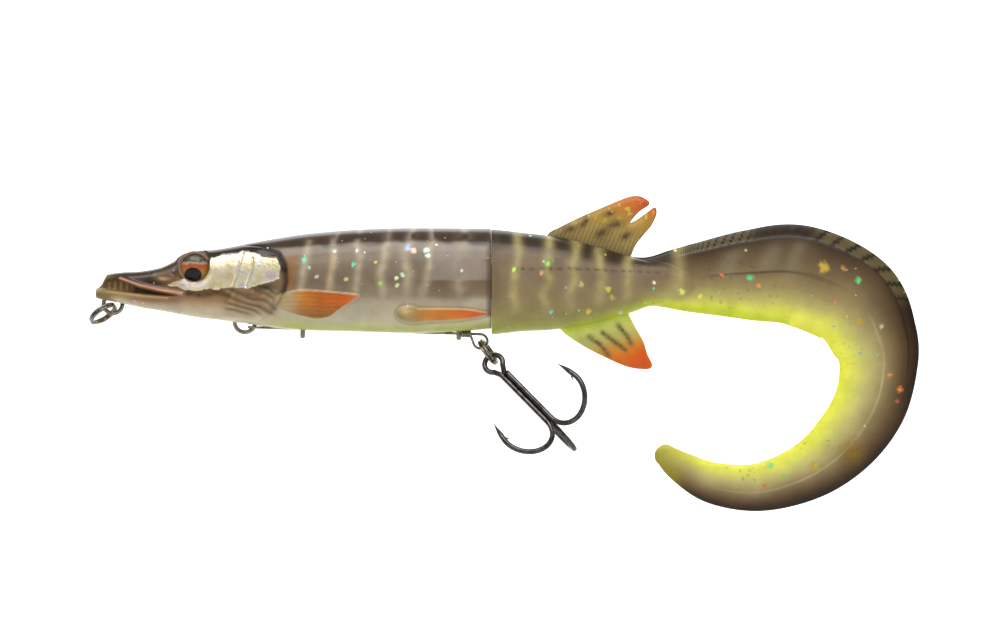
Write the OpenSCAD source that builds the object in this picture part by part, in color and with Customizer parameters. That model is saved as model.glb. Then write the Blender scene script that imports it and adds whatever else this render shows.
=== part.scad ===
// Hybrid swimbait: a hard two-shell pike head and body, a push-in soft tail with a curl,
// and a belly-pinned wire stinger that carries one treble hook.
// +X runs from the tow eye to the tail, +Z is the back, and Y = 0 is the shells' parting plane.
// The origin is the centre of the tow eye. Units are millimetres.

/* [Body] */
// Wall of the moulded half shells
wall = 1.4; // [1.1:0.1:1.6]
// Number of facets round half a body section
half_sides = 12; // [8:1:14]
// Gap between the hard body and the soft tail
tail_gap = 0.4; // [0.3:0.1:0.6]

/* [Eyes] */
// Radius of an eye
eye_r = 3.0; // [2.6:0.1:3.1]
// How far the eye lens domes out of its seat
lens_rise = 1.5; // [1.0:0.1:1.6]

/* [Rigging] */
// Diameter of the wire in the tow eye and the belly hanger
eye_wire_d = 0.9; // [0.7:0.05:0.95]
// Diameter of the stinger wire
stinger_d = 0.54; // [0.4:0.02:0.56]
// Diameter of a belly peg
peg_d = 1.04; // [0.9:0.02:1.1]
// Outer radius of the nose split ring
nose_ring_r = 3.2; // [3.0:0.1:3.3]
// Outer radius of the hook split ring
hook_ring_r = 3.15; // [3.05:0.05:3.25]

/* [Treble hook] */
// Diameter of the hook wire
hook_d = 1.12; // [0.9:0.02:1.16]
// Straight length of the shank
shank_l = 14.8; // [12:0.2:17]
// Radius of the bend, to the middle of the wire
bend_r = 5.3; // [4.4:0.1:5.6]
// Sideways tilt of the hanging hook, away from straight down the ring
treble_tilt = -28; // [-35:1:35]

/* [Soft tail] */
// Thickness of the curl
curl_t = 2.6; // [2.0:0.1:3.2]
// Thickness of the dorsal and anal fins
fin_t = 1.1; // [0.8:0.1:1.6]
// Gap that a flexing hinge of the curl leaves between two segments
curl_gap = 0.9; // [0.8:0.1:1.2]

/* [Hidden] */
$fn = 48;

// Sections of the hard body: [x, back z, belly z, half width, squareness]
BODY = [[-3.4, 3.2, 1.2, 1.2, 2.2], [-2.2, 5.0, 0.8, 2.2, 2.4], [-0.8, 6.2, 0.6, 2.8, 2.6],
    [2.3, 6.6, 0.0, 3.2, 2.8], [6.0, 6.8, -0.8, 3.6, 3.0], [9.7, 7.5, -1.4, 4.0, 3.1],
    [12.4, 8.7, -1.9, 4.5, 3.2], [15.0, 10.4, -2.4, 5.1, 3.2], [18.0, 11.0, -2.9, 5.6, 3.2],
    [21.5, 11.3, -3.3, 6.0, 3.0], [25.0, 11.9, -3.8, 6.4, 2.7], [29.0, 12.7, -4.3, 6.9, 2.5],
    [34.0, 13.6, -5.0, 7.4, 2.4], [40.0, 14.5, -5.5, 7.8, 2.3], [49.0, 15.3, -5.7, 8.2, 2.3],
    [59.0, 15.7, -6.0, 8.3, 2.3], [68.5, 15.7, -5.9, 8.2, 2.3], [78.0, 15.6, -5.2, 7.9, 2.3]];
// Sections of the soft tail's thick part: [x, back z, belly z, half width, squareness]
TAIL = [[78.4, 15.5, -6.4, 7.8, 2.3], [85.0, 15.0, -5.9, 7.5, 2.3], [91.0, 14.1, -5.5, 7.0, 2.3],
    [96.0, 13.0, -4.9, 6.2, 2.2], [101.0, 11.6, -3.7, 5.2, 2.2], [106.0, 10.3, -2.1, 4.2, 2.1],
    [109.5, 9.5, -0.9, 3.5, 2.1], [113.5, 8.8, -0.5, 2.8, 2.0], [117.0, 8.0, 0.3, 2.1, 2.0],
    [119.4, 6.6, 1.6, 1.4, 2.0]];
// Middle line of the curl: [x, z, half width]
CURL = [[110.7, 4.6, 5.0], [121.5, 5.4, 7.4], [131.9, 6.0, 9.4], [142.2, 5.8, 10.5],
    [153.0, 0.8, 10.3], [157.5, -7.0, 9.1], [158.4, -13.2, 8.1], [156.5, -21.3, 7.6],
    [151.3, -28.8, 7.0], [143.9, -34.6, 6.0], [133.9, -37.9, 5.0], [124.4, -37.1, 4.3],
    [117.8, -33.9, 3.3], [113.4, -30.8, 2.2]];
// Outlines of the fins in the XZ plane, from the front of the base round to its rear
DORSAL = [[89.9, 14.2], [92.7, 16.0], [97.0, 18.1], [101.4, 20.0], [104.7, 21.4], [107.0, 22.2],
    [109.0, 22.3], [110.7, 21.4], [110.9, 20.5], [108.8, 19.0], [107.0, 16.8], [108.8, 17.7],
    [110.9, 19.2], [112.2, 20.0], [112.5, 18.6], [111.4, 16.2], [109.8, 14.3], [108.2, 12.2],
    [107.3, 9.6]];
ANAL = [[92.6, -5.3], [97.0, -8.5], [102.6, -11.4], [106.8, -13.1], [110.6, -13.5], [111.6, -12.6],
    [110.6, -10.4], [109.8, -7.8], [108.2, -4.9], [106.5, -1.6]];

clear = 0.06; // between two fixed pieces that aren't a fit
// Hard body
cavity_x = [13, 69];
eye_at = [17.3, 4.2, 7.45]; // back of the left eye's seat
end_x = 78;
// Ring and wire sizes
eye_mean_r = 1.95; // tow eye, to the middle of the wire
anchor_r = 1.55; // buried loop of a wire hanger, to the middle of the wire
ring_wall = 0.65; // radial thickness of a split ring
ring_h = 1.15; // both turns of a split ring together
tow_anchor = [4.6, 0, 3.0];
hanger = [27.3, 0, -3.7]; // centre of the belly hanger's loop
hanger_mean_r = 2.15;
hanger_anchor = [27.3, 0, 0.35];
// Nose split ring: where it passes through the tow eye, its direction and its twist
nose_pivot = [0.3, 0, -0.35];
nose_angle = 215; // degrees from +X towards +Z
nose_twist = 18;
// Stinger wire, from its front eye to its rear loop
stinger_eye = [29.33, 0, -4.85];
stinger_eye_r = 1.25;
stinger_end = [76.1, 0, -7.75]; // centre of the rear loop
loop_r = 1.48;
wire_l = stinger_end[0] - stinger_eye[0];
wire_drop = atan2(stinger_eye[2] - stinger_end[2] - loop_r, wire_l);
wraps = 4;
wrap_pitch = 0.57;
wrap_x = wire_l - 3.7;
loop_back = 200; // degrees round the loop where the wire turns back to the wraps
front_peg_x = 9.97;
rear_peg_x = 42.27;
// Hook split ring: its centre, and its direction away from the stinger's loop
hook_ring_c = [77.67, 0, -9.94];
hook_ring_angle = -53.9;
// Treble: its eye's centre, and how far its shank swings back from straight down
treble_eye = [79.0, 0, -12.6];
treble_swing = -43.9;
treble_eye_r = 1.95;
shank_top = 3.3; // from the eye's centre to the start of the shank
rod_out = 0.59 * hook_d; // from the shank's axis to each of its three rods
point_l = 5.4;
point_lean = 8; // the point leans in towards the shank
neck_d = 1.5 * hook_d; // where the two rods of the double hook run into its eye
neck_in = 0.3; // how far the neck reaches down between the rods
// Tail plug
plug_z = 4.6;
spigot_r = 3.4;
// Flex hinges of the tail
flex_1 = 89.5;
flex_1_half = 14; // degrees either way
flex_2 = 108.8;
flex_2_half = 20;
curl_cuts = [2, 5, 8]; // CURL points that are hinges
curl_steps = 4; // outline steps between two CURL points

function hermite(a, b, c, d, t) = b + 0.5 * t * (c - a + t * (2 * a - 5 * b + 4 * c - d + t * (3 * (b - c) + d - a)));
function at(list, s) =
    let (i = min(floor(s), len(list) - 2), t = s - i, last = len(list) - 1)
    hermite(list[max(i - 1, 0)], list[i], list[i + 1], list[min(i + 2, last)], t);
// One closed section of a body, from an entry of BODY or TAIL drawn in by inset
function superellipse(c, p) = sign(c) * pow(abs(c), 2 / p);
function section(s, inset, from, to, n) =
    let (mid = (s[1] + s[2]) / 2, high = (s[1] - s[2]) / 2 - inset, wide = s[3] - inset)
    [for (k = [0 : n - 1]) let (a = from + (to - from) * k / (n - 1))
        [s[0], wide * superellipse(cos(a), s[4]), mid + high * superellipse(sin(a), s[4])]];

// Joins rings of points into a closed solid
module loft(rings) {
    m = len(rings[0]);
    n = len(rings);
    sides = [for (i = [0 : n - 2], j = [0 : m - 1], k = [0, 1])
        let (a = i * m + j, b = i * m + (j + 1) % m)
        k == 0 ? [a, a + m, b + m] : [a, b + m, b]];
    polyhedron(
        points = [for (r = rings, p = r) p],
        faces = concat(sides, [[for (j = [0 : m - 1]) j]], [[for (j = [0 : m - 1]) n * m - 1 - j]]),
        convexity = 6);
}

// Half of the hard body without its hollow, on the +Y side
module half_body() {
    stations = [for (s = [0 : 0.5 : len(BODY) - 1]) at(BODY, s)];
    loft([for (s = stations) section(s, 0, -90, 90, half_sides + 1)]);
}

// The hollow inside both shells
module cavity() {
    stations = [for (s = [0 : 0.5 : len(BODY) - 1]) at(BODY, s)];
    inside = [for (s = stations) if (s[0] >= cavity_x[0] && s[0] <= cavity_x[1]) s];
    sides = 2 * half_sides;
    loft([for (s = inside) section(s, wall, 0, 360 * (sides - 1) / sides, sides)]);
}

// A rod between two points
module rod(a, b, r) {
    d = b - a;
    translate(a)
        rotate([0, acos(d[2] / norm(d)), atan2(d[1], d[0])])
            cylinder(r = r, h = norm(d));
}

// A wire ring that lies in the XZ plane
module wire_ring(r, wire_d) {
    rotate([90, 0, 0]) rotate_extrude() translate([r, 0]) circle(d = wire_d);
}

// A disc along Y, centred on the parting plane
module disc(at, r, w) {
    translate(at) rotate([90, 0, 0]) cylinder(r = r, h = w, center = true);
}

// Space for a wire hanger's two loops in the shells, leaving a post inside the buried one
module hanger_pocket(loop, loop_r, anchor) {
    slot = eye_wire_d + 2 * clear;
    disc(loop, loop_r + slot / 2, slot);
    rod(loop, anchor - (anchor - loop) * (anchor_r / norm(anchor - loop)), slot / 2);
    difference() {
        disc(anchor, anchor_r + slot / 2, slot);
        disc(anchor, anchor_r - slot / 2, slot + 1);
    }
}

// Things moulded on the left shell: the rim round the eye, and webs on the parting plane
module shell_webs() {
    translate([eye_at[0], 2.4, eye_at[2]]) rotate([-90, 0, 0]) cylinder(r = eye_r + 0.5, h = 2.4);
    translate([23.6, 0, -3.4]) cube([7.4, 2, 6.6]);
    translate([37.6, 0, -4.9]) cube([3.6, 1.9, 2.9]);
    for (x = [45, 54]) translate([x, 0, -4.4]) cube([1.2, 3, 2.6]);
    for (x = [60.4, 66.6]) translate([x, 0, 10.2]) cube([1.2, 3.5, 5]);
}

module left_shell() {
    color("dimgray") difference() {
        union() {
            difference() {
                half_body();
                cavity();
            }
            shell_webs();
        }
        translate(eye_at) rotate([-90, 0, 0]) cylinder(r = eye_r + clear, h = 6);
        hanger_pocket([0, 0, 0], eye_mean_r, tow_anchor);
        hanger_pocket(hanger, hanger_mean_r, hanger_anchor);
        stinger_groove();
        keel_bar(clear);
        rattle_body(clear);
        head_slug(clear);
        socket();
    }
}

module right_shell() {
    mirror([0, 1, 0]) left_shell();
}

// Where the wire and its pegs lie in the belly
module stinger_groove() {
    stinger_frame() {
        translate([0.6, -0.62, -4]) cube([wire_l, 1.24, 4.55]);
        translate([wrap_x - 0.7, -1.15, -4]) cube([7, 2.3, 5.1]);
    }
    for (p = [[front_peg_x, 2.6], [rear_peg_x, 2.3]])
        stinger_frame() translate([p[0], 0, -3]) cylinder(d = peg_d + 0.5, h = 3 + p[1]);
}

// The plug's seat in the rear of the shells
module socket() {
    translate([cavity_x[1] + 0.6, 0, plug_z]) rotate([0, 90, 0]) cylinder(r = spigot_r + 0.1, h = 10);
}

module keel_bar(grow) {
    translate([44 - grow, 0, -1.7]) rotate([0, 90, 0]) cylinder(r = 2.4 + grow, h = 14 + 2 * grow);
}

module head_slug(grow) {
    translate([10.6, 0, 1.8]) rotate([90, 0, 0]) cylinder(r = 1.7 + grow, h = 4.6 + 2 * grow, center = true);
}

module rattle_body(grow) {
    translate([58 - grow, 0, 9.4]) rotate([0, 90, 0]) cylinder(r = 2.9 + grow, h = 10.8 + 2 * grow);
}

module keel_weight() {
    color("slategray") keel_bar(0);
}

module head_weight() {
    color("slategray") head_slug(0);
}

// Closed capsule of clear plastic
module rattle_tube() {
    color("lightgray") difference() {
        rattle_body(0);
        translate([58.6, 0, 9.4]) rotate([0, 90, 0]) cylinder(r = 2.3, h = 9.6);
    }
}

module rattle_balls() {
    color("silver") for (k = [0, 1]) translate([60.75 + 4.12 * k, 0, 9.35]) sphere(r = 2.0);
}

module left_foil() {
    color("thistle") translate([36, 4.3, -1.2]) cube([32, 0.3, 11]);
}

module right_foil() {
    mirror([0, 1, 0]) left_foil();
}

module left_eye_iris() {
    color("goldenrod") translate(eye_at) rotate([-90, 0, 0]) cylinder(r = eye_r, h = 0.4);
}

module left_eye_lens() {
    dome_r = (eye_r * eye_r + lens_rise * lens_rise) / (2 * lens_rise);
    color("gainsboro") translate(eye_at + [0, 0.4, 0]) rotate([-90, 0, 0]) intersection() {
        translate([0, 0, lens_rise - dome_r]) sphere(r = dome_r);
        cylinder(r = eye_r, h = lens_rise + 1);
    }
}

module right_eye_iris() {
    mirror([0, 1, 0]) left_eye_iris();
}

module right_eye_lens() {
    mirror([0, 1, 0]) left_eye_lens();
}

// A figure-of-eight hanger: one loop outside, and one round a post in the shells
module wire_hanger(loop, loop_r, anchor) {
    way = (anchor - loop) / norm(anchor - loop);
    color("darkgray") {
        translate(loop) wire_ring(loop_r, eye_wire_d);
        translate(anchor) wire_ring(anchor_r, eye_wire_d);
        rod(loop + way * (loop_r - 0.1), anchor - way * (anchor_r - 0.1), eye_wire_d * 0.4);
    }
}

module tow_eye() {
    wire_hanger([0, 0, 0], eye_mean_r, tow_anchor);
}

module belly_hanger() {
    wire_hanger(hanger, hanger_mean_r, hanger_anchor);
}

// Two turns of flat wire about the local Z axis
module split_ring(r) {
    groove = 0.16;
    rotate_extrude() difference() {
        translate([r - ring_wall, -ring_h / 2]) square([ring_wall, ring_h]);
        translate([r - groove, -groove / 2]) square([groove + 1, groove]);
        translate([r - ring_wall - 1, -groove / 2]) square([groove + 1, groove]);
    }
}

// Puts a ring's edge at the origin, with the ring reaching along +X in the XY plane
module from_edge(r) {
    translate([r - ring_wall / 2, 0, 0]) children();
}

module nose_ring() {
    color("gray") translate(nose_pivot) rotate([0, -nose_angle, 0]) rotate([nose_twist, 0, 0])
        from_edge(nose_ring_r) split_ring(nose_ring_r);
}

module hook_ring() {
    color("gray") translate(hook_ring_c) rotate([0, -hook_ring_angle, 0]) split_ring(hook_ring_r);
}

// The stinger's own frame: origin at its front eye, +X along the wire
module stinger_frame() {
    translate(stinger_eye) rotate([0, wire_drop, 0]) children();
}

module stinger_wire() {
    r = stinger_d / 2;
    tail_l = 1.5; // from the loop back up to the wraps
    color("rosybrown") stinger_frame() {
        rotate_extrude() translate([stinger_eye_r, 0]) circle(r = r + 0.02);
        translate([stinger_eye_r - 0.1, 0, 0]) rotate([0, 90, 0]) cylinder(r = r, h = wire_l - stinger_eye_r + 0.1);
        for (k = [0 : wraps - 1]) translate([wrap_x + wrap_pitch * k, 0, 0])
            rotate([0, 90, 0]) rotate_extrude() translate([0.8 * stinger_d, 0]) circle(r = r);
        translate([wire_l, 0, -loop_r]) rotate([90, 0, 0]) {
            rotate([0, 0, loop_back]) rotate_extrude(angle = 450 - loop_back) translate([loop_r, 0]) circle(r = r);
            rotate([0, 0, loop_back]) translate([loop_r, 0, 0]) rotate([90, 0, 0]) cylinder(r = r, h = tail_l);
        }
    }
}

// A clear pin with a round foot, threaded on the wire
module peg(x, up, down) {
    color("darkseagreen") stinger_frame() translate([x, 0, 0]) difference() {
        union() {
            translate([0, 0, -down]) cylinder(d = peg_d, h = down + up);
            translate([0, 0, -down]) sphere(d = peg_d);
        }
        rotate([0, 90, 0]) cylinder(d = stinger_d + 0.06, h = 4, center = true);
    }
}

module front_peg() {
    peg(front_peg_x, 2.2, 1.5);
}

module rear_peg() {
    peg(rear_peg_x, 1.9, 0.9);
}

// The treble's own frame: origin at its eye, shank down -Z, one hook towards +Y
module treble_frame() {
    axis = [cos(hook_ring_angle + 90), 0, sin(hook_ring_angle + 90)];
    translate(hook_ring_c) rotate(a = treble_tilt, v = axis) translate(treble_eye - hook_ring_c)
        rotate([0, treble_swing, 0]) children();
}

// One rod with its bend, point and barb, outwards along +X
module hook(from) {
    r = hook_d / 2;
    foot = -shank_top - shank_l;
    translate([rod_out, 0, foot]) cylinder(r = r, h = shank_l - from);
    translate([rod_out + bend_r, 0, foot]) {
        rotate([90, 0, 0]) rotate([0, 0, 180])
            rotate_extrude(angle = 180 + point_lean) translate([bend_r, 0]) circle(r = r);
        rotate([0, -point_lean, 0]) translate([bend_r, 0, 0]) {
            cylinder(r1 = r, r2 = 0.05, h = point_l);
            translate([-0.2, 0, 2.6]) rotate([0, -155, 0]) cylinder(r1 = 0.22, r2 = 0.04, h = 1.4);
        }
    }
}

// The wire that makes the eye and two of the hooks
module treble_double() {
    color("darkslategray") treble_frame() {
        wire_ring(treble_eye_r, hook_d);
        translate([0, 0, -shank_top - neck_in]) cylinder(d = neck_d, h = shank_top + neck_in - treble_eye_r);
        for (a = [90, 210]) rotate([0, 0, a]) hook(0);
    }
}

// The third hook, brazed to the other two
module treble_single() {
    color("darkslategray") treble_frame() rotate([0, 0, -30]) translate([clear, 0, 0]) hook(0.4);
}

// Barbed stem and spigot, hard plastic, moulded into the tail's front
module plug_stem(grow) {
    translate([end_x + tail_gap, 0, plug_z]) rotate([0, 90, 0]) {
        translate([0, 0, -0.001]) cylinder(r = 5.4 + grow, h = 1.2 + grow);
        cylinder(r = 2.4 + grow, h = 9);
        for (z = [2.6, 5.8]) translate([0, 0, z]) cylinder(r1 = 2.6 + grow, r2 = 3.8 + grow, h = 2);
    }
}

module tail_plug() {
    color("gray") {
        plug_stem(0);
        translate([cavity_x[1] + 0.8, 0, plug_z]) rotate([0, 90, 0])
            cylinder(r = spigot_r, h = end_x + tail_gap - cavity_x[1] - 0.6);
    }
}

// The soft tail's thick part between two x values
module tail_body(from, to) {
    count = len(TAIL) - 1;
    all = [for (s = [0 : 0.5 : count]) at(TAIL, s)];
    sides = 2 * half_sides;
    loft([for (s = all) if (s[0] >= from - 2.6 && s[0] <= to + 2.6)
        section(s, 0, 0, 360 * (sides - 1) / sides, sides)]);
}

// Everything behind a hinge line across the tail, drawn back on both sides to let it swing
module behind(x, half, far) {
    back = 12 * tan(half);
    translate([0, 0, -60]) linear_extrude(height = 120)
        polygon([[x, 0], [x + back, 12], [far, 12], [far, -12], [x + back, -12]]);
}

module tail_front() {
    color("rosybrown") difference() {
        intersection() {
            tail_body(end_x, flex_1);
            translate([end_x + tail_gap, -12, -20]) cube([flex_1 - 0.2 - end_x - tail_gap, 24, 60]);
        }
        plug_stem(0);
    }
}

module tail_mid() {
    color("rosybrown") intersection() {
        tail_body(flex_1, flex_2);
        behind(flex_1 + 0.1, flex_1_half + 1, flex_2 - 0.2);
    }
}

// A fin of the given outline on the tail's middle plane, cut to the tail's surface
module fin(outline, root) {
    color("peru") difference() {
        rotate([90, 0, 0]) linear_extrude(height = fin_t, center = true) polygon(concat(outline, root));
        tail_body(flex_1, flex_2);
    }
}

module dorsal_fin() {
    fin(DORSAL, [[107.0, 7.0], [91.0, 11.0]]);
}

module anal_fin() {
    fin(ANAL, [[105.6, 1.0], [93.0, -3.0]]);
}

// Middle, unit direction and half width of the curl at place s along CURL
function curl_point(s) = let (p = at(CURL, s)) [p[0], p[1]];
function curl_way(s) =
    let (a = curl_point(max(s - 0.02, 0)), b = curl_point(min(s + 0.02, len(CURL) - 1)), d = b - a) d / norm(d);
function curl_edge(s, side) =
    let (w = curl_way(s)) curl_point(s) + side * at(CURL, s)[2] * [-w[1], w[0]];

// The flat curl between two places, less trim at each end
module curl_band(from, to, trim_from, trim_to) {
    steps = round((to - from) * curl_steps);
    places = [for (k = [0 : steps]) from + (to - from) * k / steps];
    first = curl_way(from) * trim_from;
    last = curl_way(to) * trim_to;
    function shift(k) = k == 0 ? first : k == steps ? -last : [0, 0];
    rotate([90, 0, 0]) linear_extrude(height = curl_t, center = true) polygon(concat(
        [for (k = [0 : steps]) curl_edge(places[k], 1) + shift(k)],
        [for (k = [steps : -1 : 0]) curl_edge(places[k], -1) + shift(k)]));
}

module tail_root() {
    color("darkkhaki") intersection() {
        union() {
            tail_body(flex_2, 120);
            curl_band(0, curl_cuts[0], 0, curl_gap / 2);
        }
        behind(flex_2 + 0.1, flex_2_half + 1, 140);
    }
}

module curl_top() {
    color("darkkhaki") curl_band(curl_cuts[0], curl_cuts[1], curl_gap / 2, curl_gap / 2);
}

module curl_side() {
    color("yellowgreen") curl_band(curl_cuts[1], curl_cuts[2], curl_gap / 2, curl_gap / 2);
}

module curl_tip() {
    last = len(CURL) - 1;
    end = curl_point(last);
    color("yellowgreen") {
        curl_band(curl_cuts[2], last, curl_gap / 2, 0);
        translate([end[0], 0, end[1]]) rotate([90, 0, 0]) cylinder(r = CURL[last][2], h = curl_t, center = true);
    }
}

left_shell();
right_shell();
left_foil();
right_foil();
keel_weight();
head_weight();
rattle_tube();
rattle_balls();
left_eye_iris();
left_eye_lens();
right_eye_iris();
right_eye_lens();
tow_eye();
nose_ring();
belly_hanger();
stinger_wire();
front_peg();
rear_peg();
hook_ring();
treble_double();
treble_single();
tail_plug();
tail_front();
tail_mid();
dorsal_fin();
anal_fin();
tail_root();
curl_top();
curl_side();
curl_tip();
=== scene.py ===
"""Looks of the hybrid swimbait: painted half shells, a soft curl tail, wire rigging and a treble hook.

Shapes are written in millimetres in the row frame: +X from the tow eye to the tail, +Z to the back.
"""

import math

import bmesh
import bpy
import numpy as np
from mathutils import Matrix, Vector
from mathutils.geometry import delaunay_2d_cdt


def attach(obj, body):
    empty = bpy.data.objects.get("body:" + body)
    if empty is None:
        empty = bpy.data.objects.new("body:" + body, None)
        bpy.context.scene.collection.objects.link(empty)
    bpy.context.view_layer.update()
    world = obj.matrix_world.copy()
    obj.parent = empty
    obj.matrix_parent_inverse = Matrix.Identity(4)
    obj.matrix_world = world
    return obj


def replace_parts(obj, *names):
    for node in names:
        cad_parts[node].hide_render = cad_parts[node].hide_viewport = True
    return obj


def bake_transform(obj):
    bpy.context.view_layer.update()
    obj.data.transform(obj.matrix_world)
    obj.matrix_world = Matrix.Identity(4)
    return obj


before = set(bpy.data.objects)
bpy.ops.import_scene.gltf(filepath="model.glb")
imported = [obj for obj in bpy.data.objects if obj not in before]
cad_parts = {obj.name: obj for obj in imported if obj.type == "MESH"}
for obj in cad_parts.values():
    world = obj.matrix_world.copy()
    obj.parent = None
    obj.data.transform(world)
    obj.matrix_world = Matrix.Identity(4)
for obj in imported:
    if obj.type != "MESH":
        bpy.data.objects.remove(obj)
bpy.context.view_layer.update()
MM = 0.001

# Hard body sections: x, back z, belly z, half width, squareness
BODY = np.array([
    [-3.4, 3.2, 1.2, 1.2, 2.2], [-2.4, 3.9, 0.9, 2.0, 2.3], [-1.5, 5.6, 0.7, 2.5, 2.5],
    [-0.8, 6.2, 0.6, 2.8, 2.6],
    [2.3, 6.6, 0.0, 3.2, 2.8], [6.0, 6.8, -0.8, 3.6, 3.0], [9.7, 7.5, -1.4, 4.0, 3.1],
    [12.4, 8.7, -1.9, 4.5, 3.2], [15.0, 10.4, -2.4, 5.1, 3.2], [18.0, 11.0, -2.9, 5.6, 3.2],
    [21.5, 11.3, -3.3, 6.0, 3.0], [25.0, 11.9, -3.8, 6.4, 2.7], [29.0, 12.7, -4.3, 6.9, 2.5],
    [34.0, 13.6, -5.0, 7.4, 2.4], [40.0, 14.5, -5.5, 7.8, 2.3], [49.0, 15.3, -5.7, 8.2, 2.3],
    [59.0, 15.7, -6.0, 8.3, 2.3], [68.5, 15.7, -5.9, 8.2, 2.3], [78.0, 15.6, -5.2, 7.9, 2.3]])

# Soft tail along its middle line: x, z, half height, half thickness of the flat curl
SPINE = [(78.4, 4.55, 10.9, 0.8), (81.5, 4.55, 10.6, 0.8), (85.0, 4.5, 10.2, 0.8), (91.0, 4.3, 9.7, 0.8),
         (96.0, 4.1, 8.8, 0.9), (101.0, 4.0, 7.6, 0.9), (106.0, 4.1, 6.2, 1.0), (110.7, 4.6, 5.1, 1.2),
         (115.5, 5.0, 6.1, 1.3), (119.0, 5.2, 6.9, 1.3), (122.0, 5.4, 7.5, 1.3), (131.9, 6.0, 9.4, 1.3),
         (142.2, 5.8, 10.5, 1.3), (153.0, 0.8, 10.3, 1.3), (157.5, -7.0, 9.1, 1.3), (158.4, -13.2, 8.1, 1.3),
         (156.5, -21.3, 7.6, 1.3), (151.3, -28.8, 7.0, 1.25), (143.9, -34.6, 6.0, 1.2),
         (133.9, -37.9, 5.0, 1.1), (124.4, -37.1, 4.3, 1.05), (117.8, -33.9, 3.3, 1.0),
         (114.3, -31.3, 2.3, 0.9)]
# The tail's round core at the first of those rows, and past its end: half thickness, half height, middle z
CORE = [(7.8, 10.9, 4.55), (7.7, 10.6, 4.55), (7.5, 10.2, 4.5), (7.0, 9.7, 4.3), (6.2, 8.8, 4.1),
        (5.2, 7.6, 4.0), (4.2, 6.2, 4.1), (3.3, 4.8, 4.3), (2.5, 4.2, 4.1), (1.7, 2.6, 4.1), (0.3, 0.8, 4.1)]
CORE += [(0.1, 0.8, 4.1)] * (len(SPINE) - len(CORE))
SOFT = np.hstack([SPINE, CORE])
CURL_TOP, CURL_SIDE, CURL_TIP = 11, 14, 17  # rows of SOFT where the curl flexes
FLEX_1, FLEX_2 = 89.5, 108.8  # x of the two flex lines across the tail

EYE = (17.3, 7.45)
EYE_R = 3.0
GILL_EDGE = [(27.2, 12.0), (31.0, 11.6), (34.4, 10.4), (35.8, 8.0), (36.2, 4.6), (35.4, 1.8),
             (33.8, -0.6), (31.6, -2.6), (29.4, -3.9)]
CHEEK = [(20.5, 9.4), (23.1, 10.3), (26.0, 10.6), (27.2, 11.1), (29.8, 10.6), (31.3, 9.8), (34.2, 9.4),
         (35.2, 7.7), (35.0, 5.3), (33.9, 4.7), (31.5, 4.1), (28.6, 3.1), (25.5, 3.3), (22.5, 2.9),
         (20.0, 3.0), (17.6, 2.7), (15.4, 2.7), (13.9, 3.4), (12.0, 3.6), (11.4, 3.9), (13.6, 4.8),
         (15.0, 5.2), (16.9, 4.4), (19.0, 5.0), (20.3, 7.0)]
MOUTH = [(-1.9, 5.0), (-0.4, 5.3), (1.9, 5.0), (5.6, 3.6), (9.7, 2.7), (14.0, 2.0), (11.8, 1.5),
         (6.0, 1.9), (1.4, 2.5), (-1.0, 2.8), (-2.9, 3.2)]
UPPER_LIP = [(-1.2, 5.6), (1.8, 5.3), (5.8, 3.9), (9.9, 2.9), (14.6, 2.1)]
LOWER_LIP = [(-3.0, 2.7), (1.4, 2.1), (6.0, 1.5), (11.5, 1.0)]
PECTORAL = [(34.2, 1.4), (36.8, 2.5), (40.1, 2.9), (45.7, 2.5), (51.0, 1.9), (50.3, 0.9), (47.0, -1.4),
            (45.0, -2.8), (42.4, -3.2), (39.6, -2.7), (36.0, -1.6), (33.9, -0.4)]
PELVIC = [(58.9, -1.5), (59.9, -0.6), (62.2, -0.4), (63.8, -0.9), (68.8, -0.9), (73.8, -1.1), (77.9, -2.0),
          (75.4, -2.8), (71.4, -3.4), (65.5, -3.7), (61.9, -4.0), (59.9, -3.5), (58.9, -2.6)]
DORSAL = [(89.9, 14.2), (92.7, 16.0), (97.0, 18.1), (101.4, 20.0), (104.7, 21.4), (107.0, 22.2),
          (109.0, 22.3), (110.7, 21.4), (110.9, 20.5), (108.8, 19.0), (107.0, 16.8), (108.8, 17.7),
          (110.9, 19.2), (112.2, 20.0), (112.5, 18.6), (111.4, 16.2), (109.8, 14.3), (108.2, 12.2),
          (107.2, 9.8), (106.4, 6.5), (91.0, 10.5)]
ANAL = [(92.6, -5.2), (97.0, -8.5), (102.6, -11.4), (106.8, -13.1), (110.6, -13.5), (111.6, -12.6),
        (110.6, -10.4), (109.8, -7.8), (108.2, -4.9), (106.5, -1.6), (105.8, 0.6), (94.0, -2.8)]
FIN_HALF = 0.5  # half thickness of a fin


# ---------------------------------------------------------------- numbers

def srgb(code):
    """Linear colour of a hex code."""
    parts = [int(code[i:i + 2], 16) / 255 for i in (0, 2, 4)]
    return np.array([c / 12.92 if c <= 0.04045 else ((c + 0.055) / 1.055) ** 2.4 for c in parts])


def step(low, high, value):
    """0 below low, 1 above high, smooth between."""
    t = np.clip((value - low) / (high - low), 0, 1)
    return t * t * (3 - 2 * t)


def bump(value, centre, width):
    """1 at centre, falling smoothly to 0 about width away."""
    return np.exp(-((value - centre) / width) ** 2)


def span(value, start, full, fade, end):
    """1 from full to fade, falling smoothly to 0 at start and at end."""
    return step(start, full, value) * step(end, fade, value)


def smooth_rows(rows, places):
    """Rows of a table at fractional row numbers, on a smooth curve through them."""
    places = np.clip(places, 0, len(rows) - 1)
    low = np.minimum(places.astype(int), len(rows) - 2)
    t = (places - low)[:, None]
    before, after = np.maximum(low - 1, 0), np.minimum(low + 2, len(rows) - 1)
    a, b, c, d = rows[before], rows[low], rows[low + 1], rows[after]
    return b + 0.5 * t * (c - a + t * (2 * a - 5 * b + 4 * c - d + t * (3 * (b - c) + d - a)))


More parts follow.
